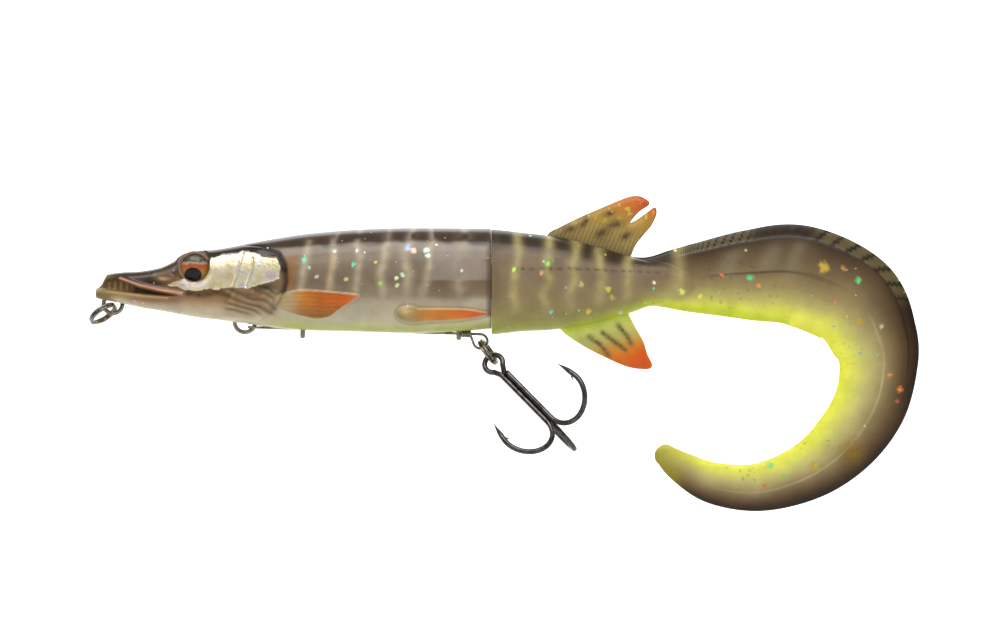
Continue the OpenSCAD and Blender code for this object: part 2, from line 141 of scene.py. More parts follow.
def fuzz(x, z, size, seed):
    """Smooth random field of the given grain size, 0 to 1."""
    grid = np.random.default_rng(seed).random((256, 256))
    u, v = np.asarray(x) / size + 1000.37, np.asarray(z) / size + 1000.71
    i, j = np.floor(u).astype(int), np.floor(v).astype(int)
    fu, fv = u - i, v - j
    fu, fv = fu * fu * (3 - 2 * fu), fv * fv * (3 - 2 * fv)
    i0, j0, i1, j1 = i % 256, j % 256, (i + 1) % 256, (j + 1) % 256
    low = grid[i0, j0] * (1 - fu) + grid[i1, j0] * fu
    high = grid[i0, j1] * (1 - fu) + grid[i1, j1] * fu
    return low * (1 - fv) + high * fv


def segment_distance(x, z, line):
    """Distance of points from an open chain of points."""
    best = np.full(np.shape(x), 1e9)
    for (ax, az), (bx, bz) in zip(line[:-1], line[1:]):
        dx, dz = bx - ax, bz - az
        t = np.clip(((x - ax) * dx + (z - az) * dz) / (dx * dx + dz * dz), 0, 1)
        best = np.minimum(best, np.hypot(x - ax - t * dx, z - az - t * dz))
    return best


def near_line(x, z, line, width):
    """1 on a chain of points, falling smoothly to 0 about width away."""
    return bump(segment_distance(x, z, line), 0, width)


def near_spot(x, z, centre, wide, tall):
    """1 at a point, falling smoothly to 0 about wide or tall away."""
    return bump(np.hypot((x - centre[0]) / wide, (z - centre[1]) / tall), 0, 1)


def depth_in(x, z, outline):
    """Distance from a closed outline, positive inside it."""
    inside = np.zeros(np.shape(x), bool)
    ring = list(outline) + [outline[0]]
    for (ax, az), (bx, bz) in zip(ring[:-1], ring[1:]):
        if az != bz:
            inside ^= ((az > z) != (bz > z)) & (x < (bx - ax) * (z - az) / (bz - az) + ax)
    return np.where(inside, 1, -1) * segment_distance(x, z, ring)


def rounded(outline, parts=5):
    """A closed outline with its corners turned into smooth curves."""
    p = np.array(outline, float)
    rows = np.vstack([p[-1:], p, p[:2]])
    places = 1 + np.arange(len(p) * parts) / parts
    return [tuple(q) for q in smooth_rows(rows, places)]


def lay(paint, colour, mask):
    """Paints a colour, or the colour of a hex code, over paint where mask is 1."""
    if isinstance(colour, str):
        colour = srgb(colour)
    return paint + (colour - paint) * np.clip(mask, 0, 1)[..., None]


def lay_all(paint, layers):
    """Lays (colour, mask) layers in their order."""
    for colour, mask in layers:
        paint = lay(paint, colour, mask)
    return paint


def ramp(value, stops):
    """Colour from (value, hex) stops."""
    at = [s[0] for s in stops]
    colours = np.array([srgb(s[1]) for s in stops])
    return np.stack([np.interp(value, at, colours[:, k]) for k in range(3)], axis=-1)


# ---------------------------------------------------------------- meshes

def new_object(name, verts, faces, material, smooth=True):
    """A mesh object from millimetre points."""
    mesh = bpy.data.meshes.new(name)
    mesh.from_pydata([tuple(p) for p in np.asarray(verts) * MM], [], faces)
    mesh.validate()
    bm = bmesh.new()
    bm.from_mesh(mesh)
    bmesh.ops.recalc_face_normals(bm, faces=bm.faces)
    bm.to_mesh(mesh)
    bm.free()
    for polygon in mesh.polygons:
        polygon.use_smooth = smooth
    obj = bpy.data.objects.new(name, mesh)
    bpy.context.scene.collection.objects.link(obj)
    obj.data.materials.append(material)
    return obj


def store(obj, name, values):
    """Stores one number or one colour per point."""
    values = np.asarray(values, float)
    if values.ndim == 2:
        layer = obj.data.color_attributes.new(name, "FLOAT_COLOR", "POINT")
        opaque = np.hstack([values, np.ones((len(values), 1))])
        layer.data.foreach_set("color", opaque.astype(np.float32).ravel())
    else:
        layer = obj.data.attributes.new(name, "FLOAT", "POINT")
        layer.data.foreach_set("value", values.astype(np.float32))


def grid_faces(rows, columns, closed=False, flip=False):
    """Quads between neighbouring rows of points."""
    faces = []
    last = columns if closed else columns - 1
    for i in range(rows - 1):
        for j in range(last):
            k = (j + 1) % columns
            quad = (i * columns + j, i * columns + k, (i + 1) * columns + k, (i + 1) * columns + j)
            faces.append(quad[::-1] if flip else quad)
    return faces


def tube(name, points, radii, material, sides=16, closed=False):
    """A round bar along points, with its own radius at each, closed at the ends or into a ring."""
    p = np.array(points, float)
    ahead = np.roll(p, -1, axis=0) - np.roll(p, 1, axis=0) if closed else np.gradient(p, axis=0)
    ahead /= np.linalg.norm(ahead, axis=1)[:, None]
    radii = np.broadcast_to(np.asarray(radii, float), (len(p),))
    side = np.cross(ahead[0], (0.0, 1.0, 0.0))
    if np.linalg.norm(side) < 0.1:
        side = np.cross(ahead[0], (1.0, 0.0, 0.0))
    turn = np.linspace(0, 2 * np.pi, sides, endpoint=False)
    rings = []
    for q, d, r in zip(p, ahead, radii):
        side = side - d * np.dot(side, d)
        side /= np.linalg.norm(side)
        other = np.cross(d, side)
        rings.append(q + r * (np.outer(np.cos(turn), side) + np.outer(np.sin(turn), other)))
    verts = np.vstack(rings)
    faces = grid_faces(len(p), sides, closed=True)
    if closed:
        last = (len(p) - 1) * sides
        faces += [(last + j, last + (j + 1) % sides, (j + 1) % sides, j) for j in range(sides)]
    else:
        faces.append(tuple(range(sides)))
        faces.append(tuple(len(verts) - 1 - j for j in range(sides)))
    return new_object(name, verts, faces, material)


def join(objects, name):
    """Joins objects into one mesh object."""
    bpy.ops.object.select_all(action="DESELECT")
    for obj in objects:
        obj.select_set(True)
    bpy.context.view_layer.objects.active = objects[0]
    bpy.ops.object.join()
    objects[0].name = name
    return objects[0]


# ---------------------------------------------------------------- materials

class Nodes:
    """Short names for building a node material."""

    def __init__(self, name):
        self.material = bpy.data.materials.new(name)
        self.material.use_nodes = True
        self.tree = self.material.node_tree
        self.shader = self.tree.nodes["Principled BSDF"]

    def add(self, kind, inputs=None, **settings):
        node = self.tree.nodes.new("ShaderNode" + kind)
        for key, value in settings.items():
            setattr(node, key, value)
        for key, value in (inputs or {}).items():
            self.feed(node.inputs[key], value)
        return node

    def feed(self, socket, value):
        if isinstance(value, bpy.types.NodeSocket):
            self.tree.links.new(value, socket)
        elif isinstance(value, (list, tuple, np.ndarray)) and len(value) == 3 and socket.type == "RGBA":
            socket.default_value = (*[float(v) for v in value], 1.0)
        else:
            socket.default_value = value

    def surface(self, **inputs):
        for key, value in inputs.items():
            self.feed(self.shader.inputs[key.replace("_", " ")], value)

    def place(self):
        return self.add("TexCoord").outputs["Object"]

    def noise(self, scale, detail=4.0, rough=0.55, where=None):
        inputs = {"Vector": where or self.place(), "Scale": scale, "Detail": detail, "Roughness": rough}
        return self.add("TexNoise", inputs).outputs["Fac"]

    def maths(self, operation, a, b=0.0, c=0.0):
        node = self.add("Math", operation=operation)
        for socket, value in zip(node.inputs, (a, b, c)):
            self.feed(socket, value)
        return node.outputs[0]

    def between(self, value, low, high, to_low=0.0, to_high=1.0):
        inputs = {"Value": value, "From Min": low, "From Max": high, "To Min": to_low, "To Max": to_high}
        return self.add("MapRange", inputs).outputs["Result"]

    def mix(self, share, a, b, how="MIX"):
        node = self.add("Mix", data_type="RGBA", blend_type=how)
        self.feed(node.inputs["Factor"], share)
        self.feed(node.inputs[6], a)
        self.feed(node.inputs[7], b)
        return node.outputs[2]

    def ramp(self, value, stops):
        node = self.add("ValToRGB", {"Fac": value})
        while len(node.color_ramp.elements) < len(stops):
            node.color_ramp.elements.new(0.5)
        for element, (at, colour) in zip(node.color_ramp.elements, stops):
            element.position = at
            element.color = (*colour, 1.0)
        return node.outputs["Color"]

    def stored(self, name, output="Fac"):
        return self.add("Attribute", attribute_name=name).outputs[output]

    def relief(self, height, strength, distance):
        inputs = {"Height": height, "Strength": strength, "Distance": distance}
        self.feed(self.shader.inputs["Normal"], self.add("Bump", inputs).outputs["Normal"])


RAINBOW = [(0.0, (0.9, 0.35, 0.15)), (0.25, (0.95, 0.75, 0.2)), (0.45, (0.35, 0.8, 0.35)),
           (0.6, (0.2, 0.75, 0.6)), (0.8, (0.5, 0.55, 0.95)), (1.0, (0.9, 0.5, 0.75))]
FOIL_HUES = [(0.25, (0.85, 0.60, 0.50)), (0.42, (0.98, 0.84, 0.46)), (0.55, (1.0, 0.93, 0.72)),
             (0.68, (0.82, 0.66, 0.66)), (0.85, (1.0, 0.88, 0.56))]


def flaked_paint(n, cloud_scale, dark, light, flake_share, flake_scale):
    """Stored paint with cloudy shading and bright foil flakes: returns the colour and the flakes' mask."""
    shade = n.between(n.noise(cloud_scale, 5.0), 0.3, 0.7, dark, light)
    grey = n.add("CombineColor", {0: shade, 1: shade, 2: shade}).outputs[0]
    toned = n.mix(1.0, n.stored("paint", "Color"), grey, "MULTIPLY")
    cell = n.add("TexVoronoi", {"Vector": n.place(), "Scale": flake_scale, "Randomness": 1.0})
    draw = n.add("SeparateColor", {"Color": cell.outputs["Color"]})
    chosen = n.maths("GREATER_THAN", draw.outputs[0], 1.0 - flake_share)
    size = n.between(draw.outputs[1], 0, 1, 0.12, 0.42)
    mask = n.maths("MULTIPLY", chosen, n.maths("LESS_THAN", cell.outputs["Distance"], size))
    return n.mix(mask, toned, n.ramp(draw.outputs[2], RAINBOW)), mask


def shell_material():
    """Painted hard plastic: stored paint, crinkled foil, fine flakes and a hard gloss coat."""
    n = Nodes("clear_shell")
    colour, flakes = flaked_paint(n, 260.0, 0.86, 1.12, 0.018, 1700.0)
    foil = n.stored("foil")
    foil_colour = n.ramp(n.noise(420.0, 3.0), FOIL_HUES)
    shine = n.maths("MAXIMUM", n.maths("MULTIPLY", foil, 0.75), n.maths("MULTIPLY", flakes, 0.8))
    n.surface(Base_Color=n.mix(foil, colour, foil_colour), Roughness=n.between(foil, 0, 1, 0.32, 0.26),
              Metallic=shine, Coat_Weight=0.5, Coat_Roughness=0.04, Coat_IOR=1.4, Specular_IOR_Level=0.2,
              Subsurface_Weight=0.12, Subsurface_Radius=(1.0, 0.8, 0.6), Subsurface_Scale=0.0012)
    crinkle = n.noise(900.0, 6.0, 0.65)
    n.relief(n.maths("MULTIPLY", crinkle, foil), 0.5, 0.00035)
    return n.material


def soft_material(name, flake_share):
    """Soft elastomer with flakes in it and an oily gloss."""
    n = Nodes(name)
    colour, flakes = flaked_paint(n, 230.0, 0.88, 1.1, flake_share, 1100.0)
    n.surface(Base_Color=colour, Roughness=0.38, Metallic=n.maths("MULTIPLY", flakes, 0.7), Coat_Weight=0.3,
              Coat_Roughness=0.12, Coat_IOR=1.4, Specular_IOR_Level=0.2, Subsurface_Weight=0.3,
              Subsurface_Radius=(1.0, 0.9, 0.5), Subsurface_Scale=0.0015)
    n.relief(n.noise(1400.0, 4.0), 0.18, 0.0002)
    return n.material


def metal_material(name, colour, dark, rough, streaks=2500.0):
    """Plated or drawn metal with faint brownish stains and drawing marks."""
    n = Nodes(name)
    stain = n.between(n.noise(700.0, 5.0), 0.4, 0.7)
    n.surface(Base_Color=n.mix(stain, colour, dark), Metallic=1.0,
              Roughness=n.between(n.noise(streaks, 3.0), 0.3, 0.7, rough * 0.8, rough * 1.4))
    n.relief(n.noise(streaks, 2.0), 0.12, 0.0001)
    return n.material


def plain_material(name, colour, rough=0.4, metallic=0.0):
    """A part that stays inside the shells: moulded or cast, slightly mottled."""
    n = Nodes(name)
    mottle = n.noise(800.0, 5.0)
    n.surface(Base_Color=n.mix(n.between(mottle, 0.35, 0.65), colour, [0.75 * c for c in colour]),
              Roughness=rough, Metallic=metallic)
    n.relief(mottle, 0.15, 0.0002)
    return n.material


def iris_material():
    """The printed eye as its lens shows it: low black pupil, orange crescent, olive top, hard gloss."""
    n = Nodes("iris")
    axes = n.add("SeparateXYZ", {"Vector": n.place()})
    across = n.maths("MULTIPLY", n.maths("SUBTRACT", axes.outputs[0], (EYE[0] - 0.3) * MM), 1 / (1.8 * MM))
    up = n.maths("MULTIPLY", n.maths("SUBTRACT", axes.outputs[2], (EYE[1] - 1.4) * MM), 1 / (1.4 * MM))
    pupil = n.maths("POWER", n.maths("ADD", n.maths("POWER", across, 2.0), n.maths("POWER", up, 2.0)), 0.5)
    height = n.maths("SUBTRACT", axes.outputs[2], EYE[1] * MM)
    wavy = n.maths("ADD", height, n.between(n.noise(1500.0, 4.0), 0.3, 0.7, -0.0003, 0.0003))
    base = n.ramp(n.between(wavy, -0.003, 0.003), [
        (0.0, srgb("8a8040")), (0.3, srgb("b08a34")), (0.48, srgb("b8642a")), (0.6, srgb("a85c34")),
        (0.66, srgb("c8a08c")), (0.72, srgb("54503e")), (1.0, srgb("6e6a58"))])
    black = n.between(pupil, 0.94, 1.06, 1.0, 0.0)
    n.surface(Base_Color=n.mix(black, base, srgb("040303")), Roughness=0.3, Specular_IOR_Level=0.1,
              Coat_Weight=0.8, Coat_IOR=1.4, Coat_Roughness=0.02)
    return n.material


MATERIALS = {
    "shell": shell_material(),
    "soft_body": soft_material("soft_body", 0.025),
    "soft_curl": soft_material("soft_curl", 0.016),
    "soft_fin": soft_material("soft_fin", 0.03),
    "wire": metal_material("wire", srgb("a89f90"), srgb("5f564a"), 0.28),
    "ring": metal_material("split_ring", srgb("a59d90"), srgb("544c42"), 0.2),
    "hook": metal_material("hook_metal", srgb("686460"), srgb("3a3735"), 0.26),
    "peg": plain_material("peg_plastic", srgb("a2a488"), 0.12),
    "iris": iris_material(),
    "rim": plain_material("eye_rim", srgb("8f7460"), 0.1),
    "ballast": plain_material("ballast", srgb("6a6a6c"), 0.5, 0.9),
    "foil": plain_material("foil", srgb("d8c2b4"), 0.2, 0.9),
    "rattle": plain_material("rattle_plastic", srgb("d8d8d2"), 0.15),
    "ball": metal_material("ball_steel", srgb("c0c0c0"), srgb("909090"), 0.08),
    "plug": plain_material("plug_plastic", srgb("8a7f72"), 0.25),
}


# ---------------------------------------------------------------- hard shells

def gill_rays(x, z):
    """Wave of the raised rays over the gills, -1 to 1."""
    return np.sin(((x - 24) * 0.42 + (z + 2) * 0.9 + 1.4 * (fuzz(x, z, 3.0, 3) - 0.5)) * 4.4)


def pectoral_rays(x, z):
    """Wave of the rays in the pectoral fin, -1 to 1."""
    return np.sin((z + 0.06 * x) * 7.0)


def shell_relief(x, z):
    """How far the flank stands out or in, in millimetres, at a point of the side view."""
    out = -1.0 * step(-0.1, 0.7, depth_in(x, z, rounded(MOUTH)))
    out += 0.5 * near_line(x, z, UPPER_LIP, 0.42) * step(-1.0, 3.0, x)
    out += 0.35 * near_line(x, z, LOWER_LIP, 0.4)
    nostril = np.hypot((x - 11.2) / 1.5, (z - 5.4) / 0.6)
    out += 0.25 * np.exp(-(nostril - 1) ** 2 / 0.12) - 0.2 * np.exp(-nostril ** 2 / 0.5)
    brow = [(10.5, 7.3), (13.2, 8.6), (14.6, 10.0)]
    out += 0.25 * near_line(x, z, brow, 0.6)
    out += 0.16 * step(-0.15, 0.15, depth_in(x, z, CHEEK))
    for crease in ([(27.3, 10.8), (26.2, 6.5), (25.0, 2.6), (23.6, 0.4)],
                   [(29.3, 9.4), (29.2, 6.8), (27.9, 3.6)]):
        out -= 0.3 * near_line(x, z, crease, 0.22)
    gap = segment_distance(x, z, GILL_EDGE)
    edge = np.array(GILL_EDGE)
    order = np.argsort(edge[:, 1])
    ahead = x < np.interp(z, edge[order, 1], edge[order, 0])
    cover = (ahead & (x > 21)) * np.exp(-gap / 4.0) * step(21, 26, x)
    out += 0.55 * cover - 0.3 * bump(gap, 0, 0.45) * ~ahead
    rays = span(x, 22.5, 25.0, 32.0, 34.5) * span(z, -3.0, -1.6, 2.6, 3.6) * ahead
    out += 0.12 * rays * gill_rays(x, z) * (0.4 + fuzz(x, z, 2.0, 7))
    for outline, height in ((PECTORAL, 0.55), (PELVIC, 0.6)):
        inside = depth_in(x, z, rounded(outline))
        out += height * step(-0.1, 0.35, inside) - 0.15 * step(0.3, 0.9, inside)
    out += 0.07 * step(0.3, 0.8, depth_in(x, z, PECTORAL)) * pectoral_rays(x, z)
    out += 0.5 * bump(np.hypot(x - 61.0, (z + 2.2) * 1.1), 0, 1.5)
    return out


# Pale bars: x, width
BARS = [(39.6, 0.9), (45.6, 0.8), (50.6, 0.8), (56.2, 1.0), (61.0, 1.1), (65.4, 1.0), (71.6, 1.6)]
# Glints in the shells: x, z, size, colour
SHELL_GLINTS = [(39.9, 9.0, 0.8, "7fe0b0"), (41.0, 7.4, 0.5, "b8d8c0"), (46.2, 10.8, 0.5, "cfe8e8"),
                (50.1, 8.0, 0.7, "74d8b0"), (50.8, 10.9, 0.5, "e0f0ff"), (54.6, 8.6, 0.5, "c8e070"),
                (61.2, 11.6, 0.9, "b8c8ff"), (62.4, 10.9, 0.8, "ffd8c0"), (65.0, 11.0, 0.8, "d0ffe8"),
                (65.3, 9.9, 0.7, "e8fff4"), (60.2, 6.0, 0.7, "c8e8d0"), (58.9, 5.2, 0.6, "d8f0c0"),
                (48.6, 5.0, 0.6, "d0c890"), (42.5, 5.6, 0.6, "c8c8c0"), (72.2, 6.8, 0.5, "f0e8f0"),
                (55.6, 4.2, 0.6, "b8d860"), (59.0, 3.8, 0.6, "c8d8a0")]
SHELL_CONTRAST, SHELL_TINT = 1.12, (1.2, 1.14, 0.92)


def pale_bars(x, z, table, slant, level, wander, grain, seed):
    """Upright bars that lean by slant about a level and wander a little: 1 on a bar."""
    bars = np.zeros_like(x)
    for centre, width in table:
        line = centre + slant * (z - level) + wander * (fuzz(z, centre, grain, seed) - 0.5)
        bars = np.maximum(bars, bump(x, line, width))
    return bars


def glints(paint, x, z, spots, seed):
    """Lays small ragged bright patches."""
    ragged = fuzz(x, z, 0.35, seed)
    for cx, cz, size, colour in spots:
        near = bump(np.hypot(x - cx, z - cz), 0, size)
        paint = lay(paint, srgb(colour) * 1.2, step(0.45, 0.75, near * (0.55 + 0.75 * ragged)))
    return paint


def flank_layers(x, z, top):
    """Pale bars, the chamber seen inside, and the dark back."""
    bars = pale_bars(x, z, BARS, 0.10, 7, 1.3, 3.5, 21) * step(-0.5, 3.5, z)
    patch = span(x, 43, 46, 52, 58) * span(z, 1.0, 3.0, 5.5, 8.0)
    chamber = step(65.6, 66.6, x) * span(z, 4.7, 5.1, 12.2, 12.6)
    low_band = step(60, 68, x) * span(z, 0.5, 2.0, 4.6, 4.9)
    back_edge = np.interp(x, [8, 14, 20, 30, 40, 60, 78], [1.2, 1.5, 1.2, 1.9, 2.8, 3.0, 2.9])
    dark = step(-0.9, 0.35, z - (top - back_edge) + 0.9 * (fuzz(x, z, 1.8, 41) - 0.5))
    breaks = 1 - 0.6 * bars * step(0.1, 0.6, fuzz(x, z, 1.5, 43))
    glow = bump(x, 37.2 + 0.1 * (z - 6), 1.3) * span(z, 1.0, 3.0, 9.0, 12.0)
    streak = near_line(x, z, [(45.8, 10.6), (44.8, 3.2)], 0.3)
    return [("bdb4a6", 0.85 * bars * (0.55 + 0.6 * fuzz(x, z, 1.2, 23))),
            ("7d8468", 0.3 * patch * fuzz(x, z, 4.0, 31)),
            ("9c9292", 0.75 * chamber),
            ("74604e", 0.55 * low_band * (1 - 0.6 * bars)),
            ("4b3c35", dark * breaks * step(10, 22, x)),
            ("a0703c", 0.55 * glow * (0.5 + fuzz(x, z, 1.0, 45))),
            ("c69c74", 0.6 * streak)]


def snout_layers(x, z, high):
    """Dark snout, mouth with teeth, lips, a painted highlight along the upper lip, nostril and bridge."""
    mouth = depth_in(x, z, rounded(MOUTH))
    teeth = bump(np.mod(x, 1.25), 0.62, 0.28) * step(0.0, 0.4, mouth) * span(x, -1.5, 0.0, 3.4, 5.6)
    under_lip = bump(z, 1.2 - 0.03 * x, 0.7) * span(x, 2, 5, 12, 16)
    dark_side = bump(np.hypot((x - 8.6) / 2.8, (z - 4.5 + 0.12 * (x - 8)) / 0.7), 0, 1)
    return [("453628", step(15, 12, x) * step(0.5, 0.8, high) * 0.9),
            ("8c7a4c", step(1.5, -1.5, x) * 0.8),
            ("6d5638", step(0.0, 0.5, mouth)),
            ("2c1c16", step(0.1, 0.6, mouth) * span(x, 3.6, 5.0, 10.0, 13.0) * 0.8),
            ("c0ae88", 0.4 * teeth * span(z, 2.6, 3.2, 4.2, 5.2)),
            # Painted highlight along the ridge of the upper lip
            ("cfa294", 0.95 * near_line(x, z, UPPER_LIP[1:], 0.28)),
            ("b3a072", 0.7 * near_line(x, z, LOWER_LIP, 0.4)),
            ("8a6258", 0.5 * under_lip),
            ("2a1a14", 0.85 * dark_side),
            ("c09a80", 0.9 * near_spot(x, z, (11.0, 5.3), 1.5, 0.6)),
            ("9c8f88", 0.55 * near_line(x, z, [(9.0, 6.0), (12.0, 6.7), (13.6, 7.6)], 0.5))]


def gill_layers(x, z, foil):
    """Shadows and rays under the cheek and over the gills, dark crown, and the ground round the eye."""
    under = near_line(x, z, [(16.0, 2.2), (19.0, 1.8), (21.5, 2.4), (24.0, 2.0)], 0.7)
    gills = span(x, 22.5, 24.5, 33, 35) * span(z, -3.2, -1.5, 3.0, 3.9)
    stripes = 0.5 - 0.5 * gill_rays(x, z)
    gap = segment_distance(x, z, GILL_EDGE)
    crown = [(20.0, 10.2), (24.0, 11.3), (27.5, 11.9), (31.0, 11.2), (34.6, 9.9), (35.9, 7.0)]
    around_eye = np.hypot(x - EYE[0], z - EYE[1])
    return [("3d3220", 0.8 * under * (0.6 + 0.6 * fuzz(x, z, 0.8, 51))),
            ("6c5a44", 0.6 * gills * (0.3 + 0.7 * stripes * (0.4 + fuzz(x, z, 2.0, 7)))),
            ("c0b29a", 0.45 * gills * (1 - stripes) * fuzz(x, z, 0.8, 53)),
            ("2e2620", 0.8 * near_spot(x, z, (31.8, 3.4), 2.0, 0.7)),
            ("3a3026", 0.75 * bump(gap, 0.1, 0.55) * step(-2.5, 1.0, z)),
            ("2c211b", 0.85 * near_line(x, z, crown, 0.75)),
            ("4a3a2c", step(EYE_R + 0.9, EYE_R + 0.2, around_eye) * (1 - foil))]


def pectoral_paint(x, z):
    """Orange fin with brown rays and a pale root."""
    fin = ramp((x - 36) / 15, [(0.0, "b9a07a"), (0.2, "c98a3e"), (0.5, "bf6c20"), (1.0, "d8741e")])
    streak = step(0.45, 0.9, pectoral_rays(x, z)) * span(x, 36.5, 39, 47, 50.5)
    return lay_all(fin, [("96723a", 0.8 * step(0.6, -2.6, z)),
                         ("7a3a14", 0.5 * streak * fuzz(x, z, 1.5, 63)),
                         ("b5a68c", 0.85 * step(40.5, 35.5, x))])


def pelvic_paint(x, z):
    """Long orange spike, khaki at its root and along its lower edge."""
    spike = ramp((x - 60) / 18, [(0.0, "9c9068"), (0.12, "b59a68"), (0.28, "cc8c3c"), (0.6, "d5802e"),
                                 (1.0, "d6603a")])
    return lay(spike, "b3a070", 0.6 * step(-2.7, -3.5, z))


def shell_fin_layers(x, z, high):
    """Fins in relief, a painted highlight on the pelvic knob, painted shade at the rear rim where the tail
    meets it, and the green belly line.
    """
    pectoral, pelvic = (depth_in(x, z, rounded(outline)) for outline in (PECTORAL, PELVIC))
    return [(pectoral_paint(x, z), step(0.05, 0.35, pectoral)),
            ("c8be9c", 0.7 * bump(pectoral, 0, 0.1)),
            (pelvic_paint(x, z), step(0.0, 0.3, pelvic)),
            # Painted highlight on the upper side of the pelvic fin's raised knob
            ("dcc6a0", 0.85 * near_spot(x, z, (60.6, -1.3), 1.2, 0.9)),
            ("8e8250", 0.5 * bump(pelvic, -0.2, 0.3)),
            # Painted shade of the groove between the shells' rear rim and the soft tail
            ("5a4c40", 0.7 * step(1.0, 0.0, 77.9 - x) * step(-3, -2, z)),
            ("a9b34e", 0.75 * step(0.04 + 0.0008 * x, 0.0, high) * step(36, 48, x))]


def shell_paint(x, z, top, bottom):
    """Colour and foil mask of a flank at points of the side view."""
    high = (z - bottom) / (top - bottom)
    tone = high + 0.05 * (fuzz(x, z, 6.0, 11) - 0.5)
    body = ramp(tone, [(0.0, "b4b860"), (0.06, "c3c49a"), (0.13, "c6c2b4"), (0.26, "b9b1a6"),
                       (0.36, "94877a"), (0.5, "82736a"), (0.7, "8b8078"), (0.9, "8d837c")])
    head = ramp(tone, [(0.0, "cfc8bb"), (0.12, "c4b8a8"), (0.25, "a08468"), (0.4, "7d6040"),
                       (0.6, "8a6e58"), (0.8, "604a3e"), (1.0, "43332c")])
    paint = lay(head, body, step(29, 37, x + 2.0 * (fuzz(x, z, 3.0, 5) - 0.5)))
    foil = step(0.0, 0.2, depth_in(x, z, CHEEK) + 0.35 * (fuzz(x, z, 0.5, 61) - 0.5))
    layers = flank_layers(x, z, top) + snout_layers(x, z, high) + gill_layers(x, z, foil)
    paint = lay_all(paint, layers + shell_fin_layers(x, z, high))
    return glints(paint ** SHELL_CONTRAST * SHELL_TINT, x, z, SHELL_GLINTS, 71), foil


def section_points(row, count):
    """Evenly spaced points down one side of a body section, from belly to back: y and z."""
    _, top, bottom, wide, square = row
    angle = np.radians(np.linspace(-90, 90, 721))
    rise = np.sin(angle)
    y = wide * np.abs(np.cos(angle)) ** (2 / square)
    z = (top + bottom) / 2 + (top - bottom) / 2 * np.sign(rise) * np.abs(rise) ** (2 / square)
    y[0] = y[-1] = 0.0
    length = np.concatenate([[0], np.cumsum(np.hypot(np.diff(y), np.diff(z)))])
    even = np.linspace(0, length[-1], count)
    return np.interp(even, length, y), np.interp(even, length, z)


def body_rows(x):
    """Sections of the hard body at x values."""
    fine = np.linspace(0, len(BODY) - 1, 1701)
    return smooth_rows(BODY, np.interp(x, smooth_rows(BODY, fine)[:, 0], fine))


def shrunk(ring, x, scale, middle_z):
    """A copy of a ring of points, set at x and scaled about the line at y = 0 and middle_z."""
    ring = ring.copy()
    ring[:, 0] = x
    ring[:, 1] *= scale
    ring[:, 2] = middle_z + (ring[:, 2] - middle_z) * scale
    return ring


def make_shell(name, side):
    """One half of the hard body, on the side (-1 or 1) of the parting plane."""
    xs = np.concatenate([np.linspace(-3.4, 38, 250), np.linspace(38, 78, 191)[1:]])
    rows = body_rows(xs)
    across = 131
    verts = np.zeros((len(xs), across, 3))
    for i, row in enumerate(rows):
        y, z = section_points(row, across)
        verts[i] = np.stack([np.full(across, xs[i]), y, z], axis=-1)
    x, y, z = verts[..., 0], verts[..., 1], verts[..., 2]
    top, bottom, wide = (rows[:, k][:, None] for k in (1, 2, 3))
    facing = step(0.12, 0.6, y / wide)
    relief = shell_relief(x, z) * facing
    # The eye's socket and the brim round it
    from_eye = np.hypot(x - EYE[0], z - EYE[1])
    socket = step(EYE_R + 0.02, EYE_R - 0.15, from_eye)
    brim = bump(from_eye, EYE_R + 0.35, 0.45)
    y += relief
    y[:] = np.where((from_eye < EYE_R + 1.2) & (y > 2.0), np.maximum(y, 3.6 + 0.9 * brim), y)
    y += 0.3 * brim * facing
    y[:] = y * (1 - socket) + np.minimum(y, 4.0) * socket
    # The groove that the stinger wire lies in
    wire = np.interp(x, [29.3, 76.0], [-4.85, -6.27])
    groove = step(0.75, 0.5, y) * span(x, 30, 31, 74, 75) * (z < 0)
    z[:] = np.where(groove > 0.5, np.maximum(z, wire + 0.4), z)
    y[:, 0] = y[:, -1] = 0.0
    paint, foil = shell_paint(x, z, top, bottom)
    # The snout's rounded tip, and the wall that closes the rear
    front = [shrunk(verts[0], verts[0, :, 0] - back, scale, 2.2)
             for back, scale in ((0.2, 0.02), (0.17, 0.45), (0.1, 0.8))]
    rear = [shrunk(verts[-1], x_end, 1 - inset / 8, 5.2)
            for x_end, inset in ((78.24, 0.12), (78.28, 0.4), (77.9, 1.4), (72.0, 1.5))]
    verts[-1, :, 0] = 78.1
    grid = np.concatenate([front, verts, rear])
    colours = np.concatenate([paint[:1]] * len(front) + [paint] + [paint[-1:]] * len(rear))
    foils = np.concatenate([np.zeros((len(front), across)), foil, np.zeros((len(rear), across))])
    grid[..., 1] *= side
    faces = grid_faces(len(grid), across, flip=side > 0)
    obj = new_object(name, grid.reshape(-1, 3), faces, MATERIALS["shell"])
    store(obj, "paint", colours.reshape(-1, 3))
    store(obj, "foil", foils.ravel())
    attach(obj, "hard_body")
    return obj


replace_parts(make_shell("left_body_shell", 1), "left_shell")
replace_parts(make_shell("right_body_shell", -1), "right_shell")


# ---------------------------------------------------------------- eyes

def make_eye_rim(name, side):
    """The thick raised rim round an eye."""
    turn = np.linspace(0, 2 * np.pi, 96, endpoint=False)
    ring = np.stack([EYE[0] + (EYE_R + 0.1) * np.cos(turn), np.full(96, side * 4.95),
                     EYE[1] + (EYE_R + 0.1) * np.sin(turn)], axis=-1)
    rim = tube(name, ring, 0.34, MATERIALS["rim"], closed=True)
    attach(rim, "hard_body")


make_eye_rim("left_eye_rim", 1)
make_eye_rim("right_eye_rim", -1)


# ---------------------------------------------------------------- soft tail

def soft_frame(places):
    """Middle points, unit directions, outward normals and table rows along the soft tail."""
    rows = smooth_rows(SOFT, places)
    before = smooth_rows(SOFT, places - 0.02)
    after = smooth_rows(SOFT, places + 0.02)
    way = after[:, :2] - before[:, :2]
    way /= np.linalg.norm(way, axis=1)[:, None]
    normal = np.stack([-way[:, 1], way[:, 0]], axis=-1)
    return rows, way, normal


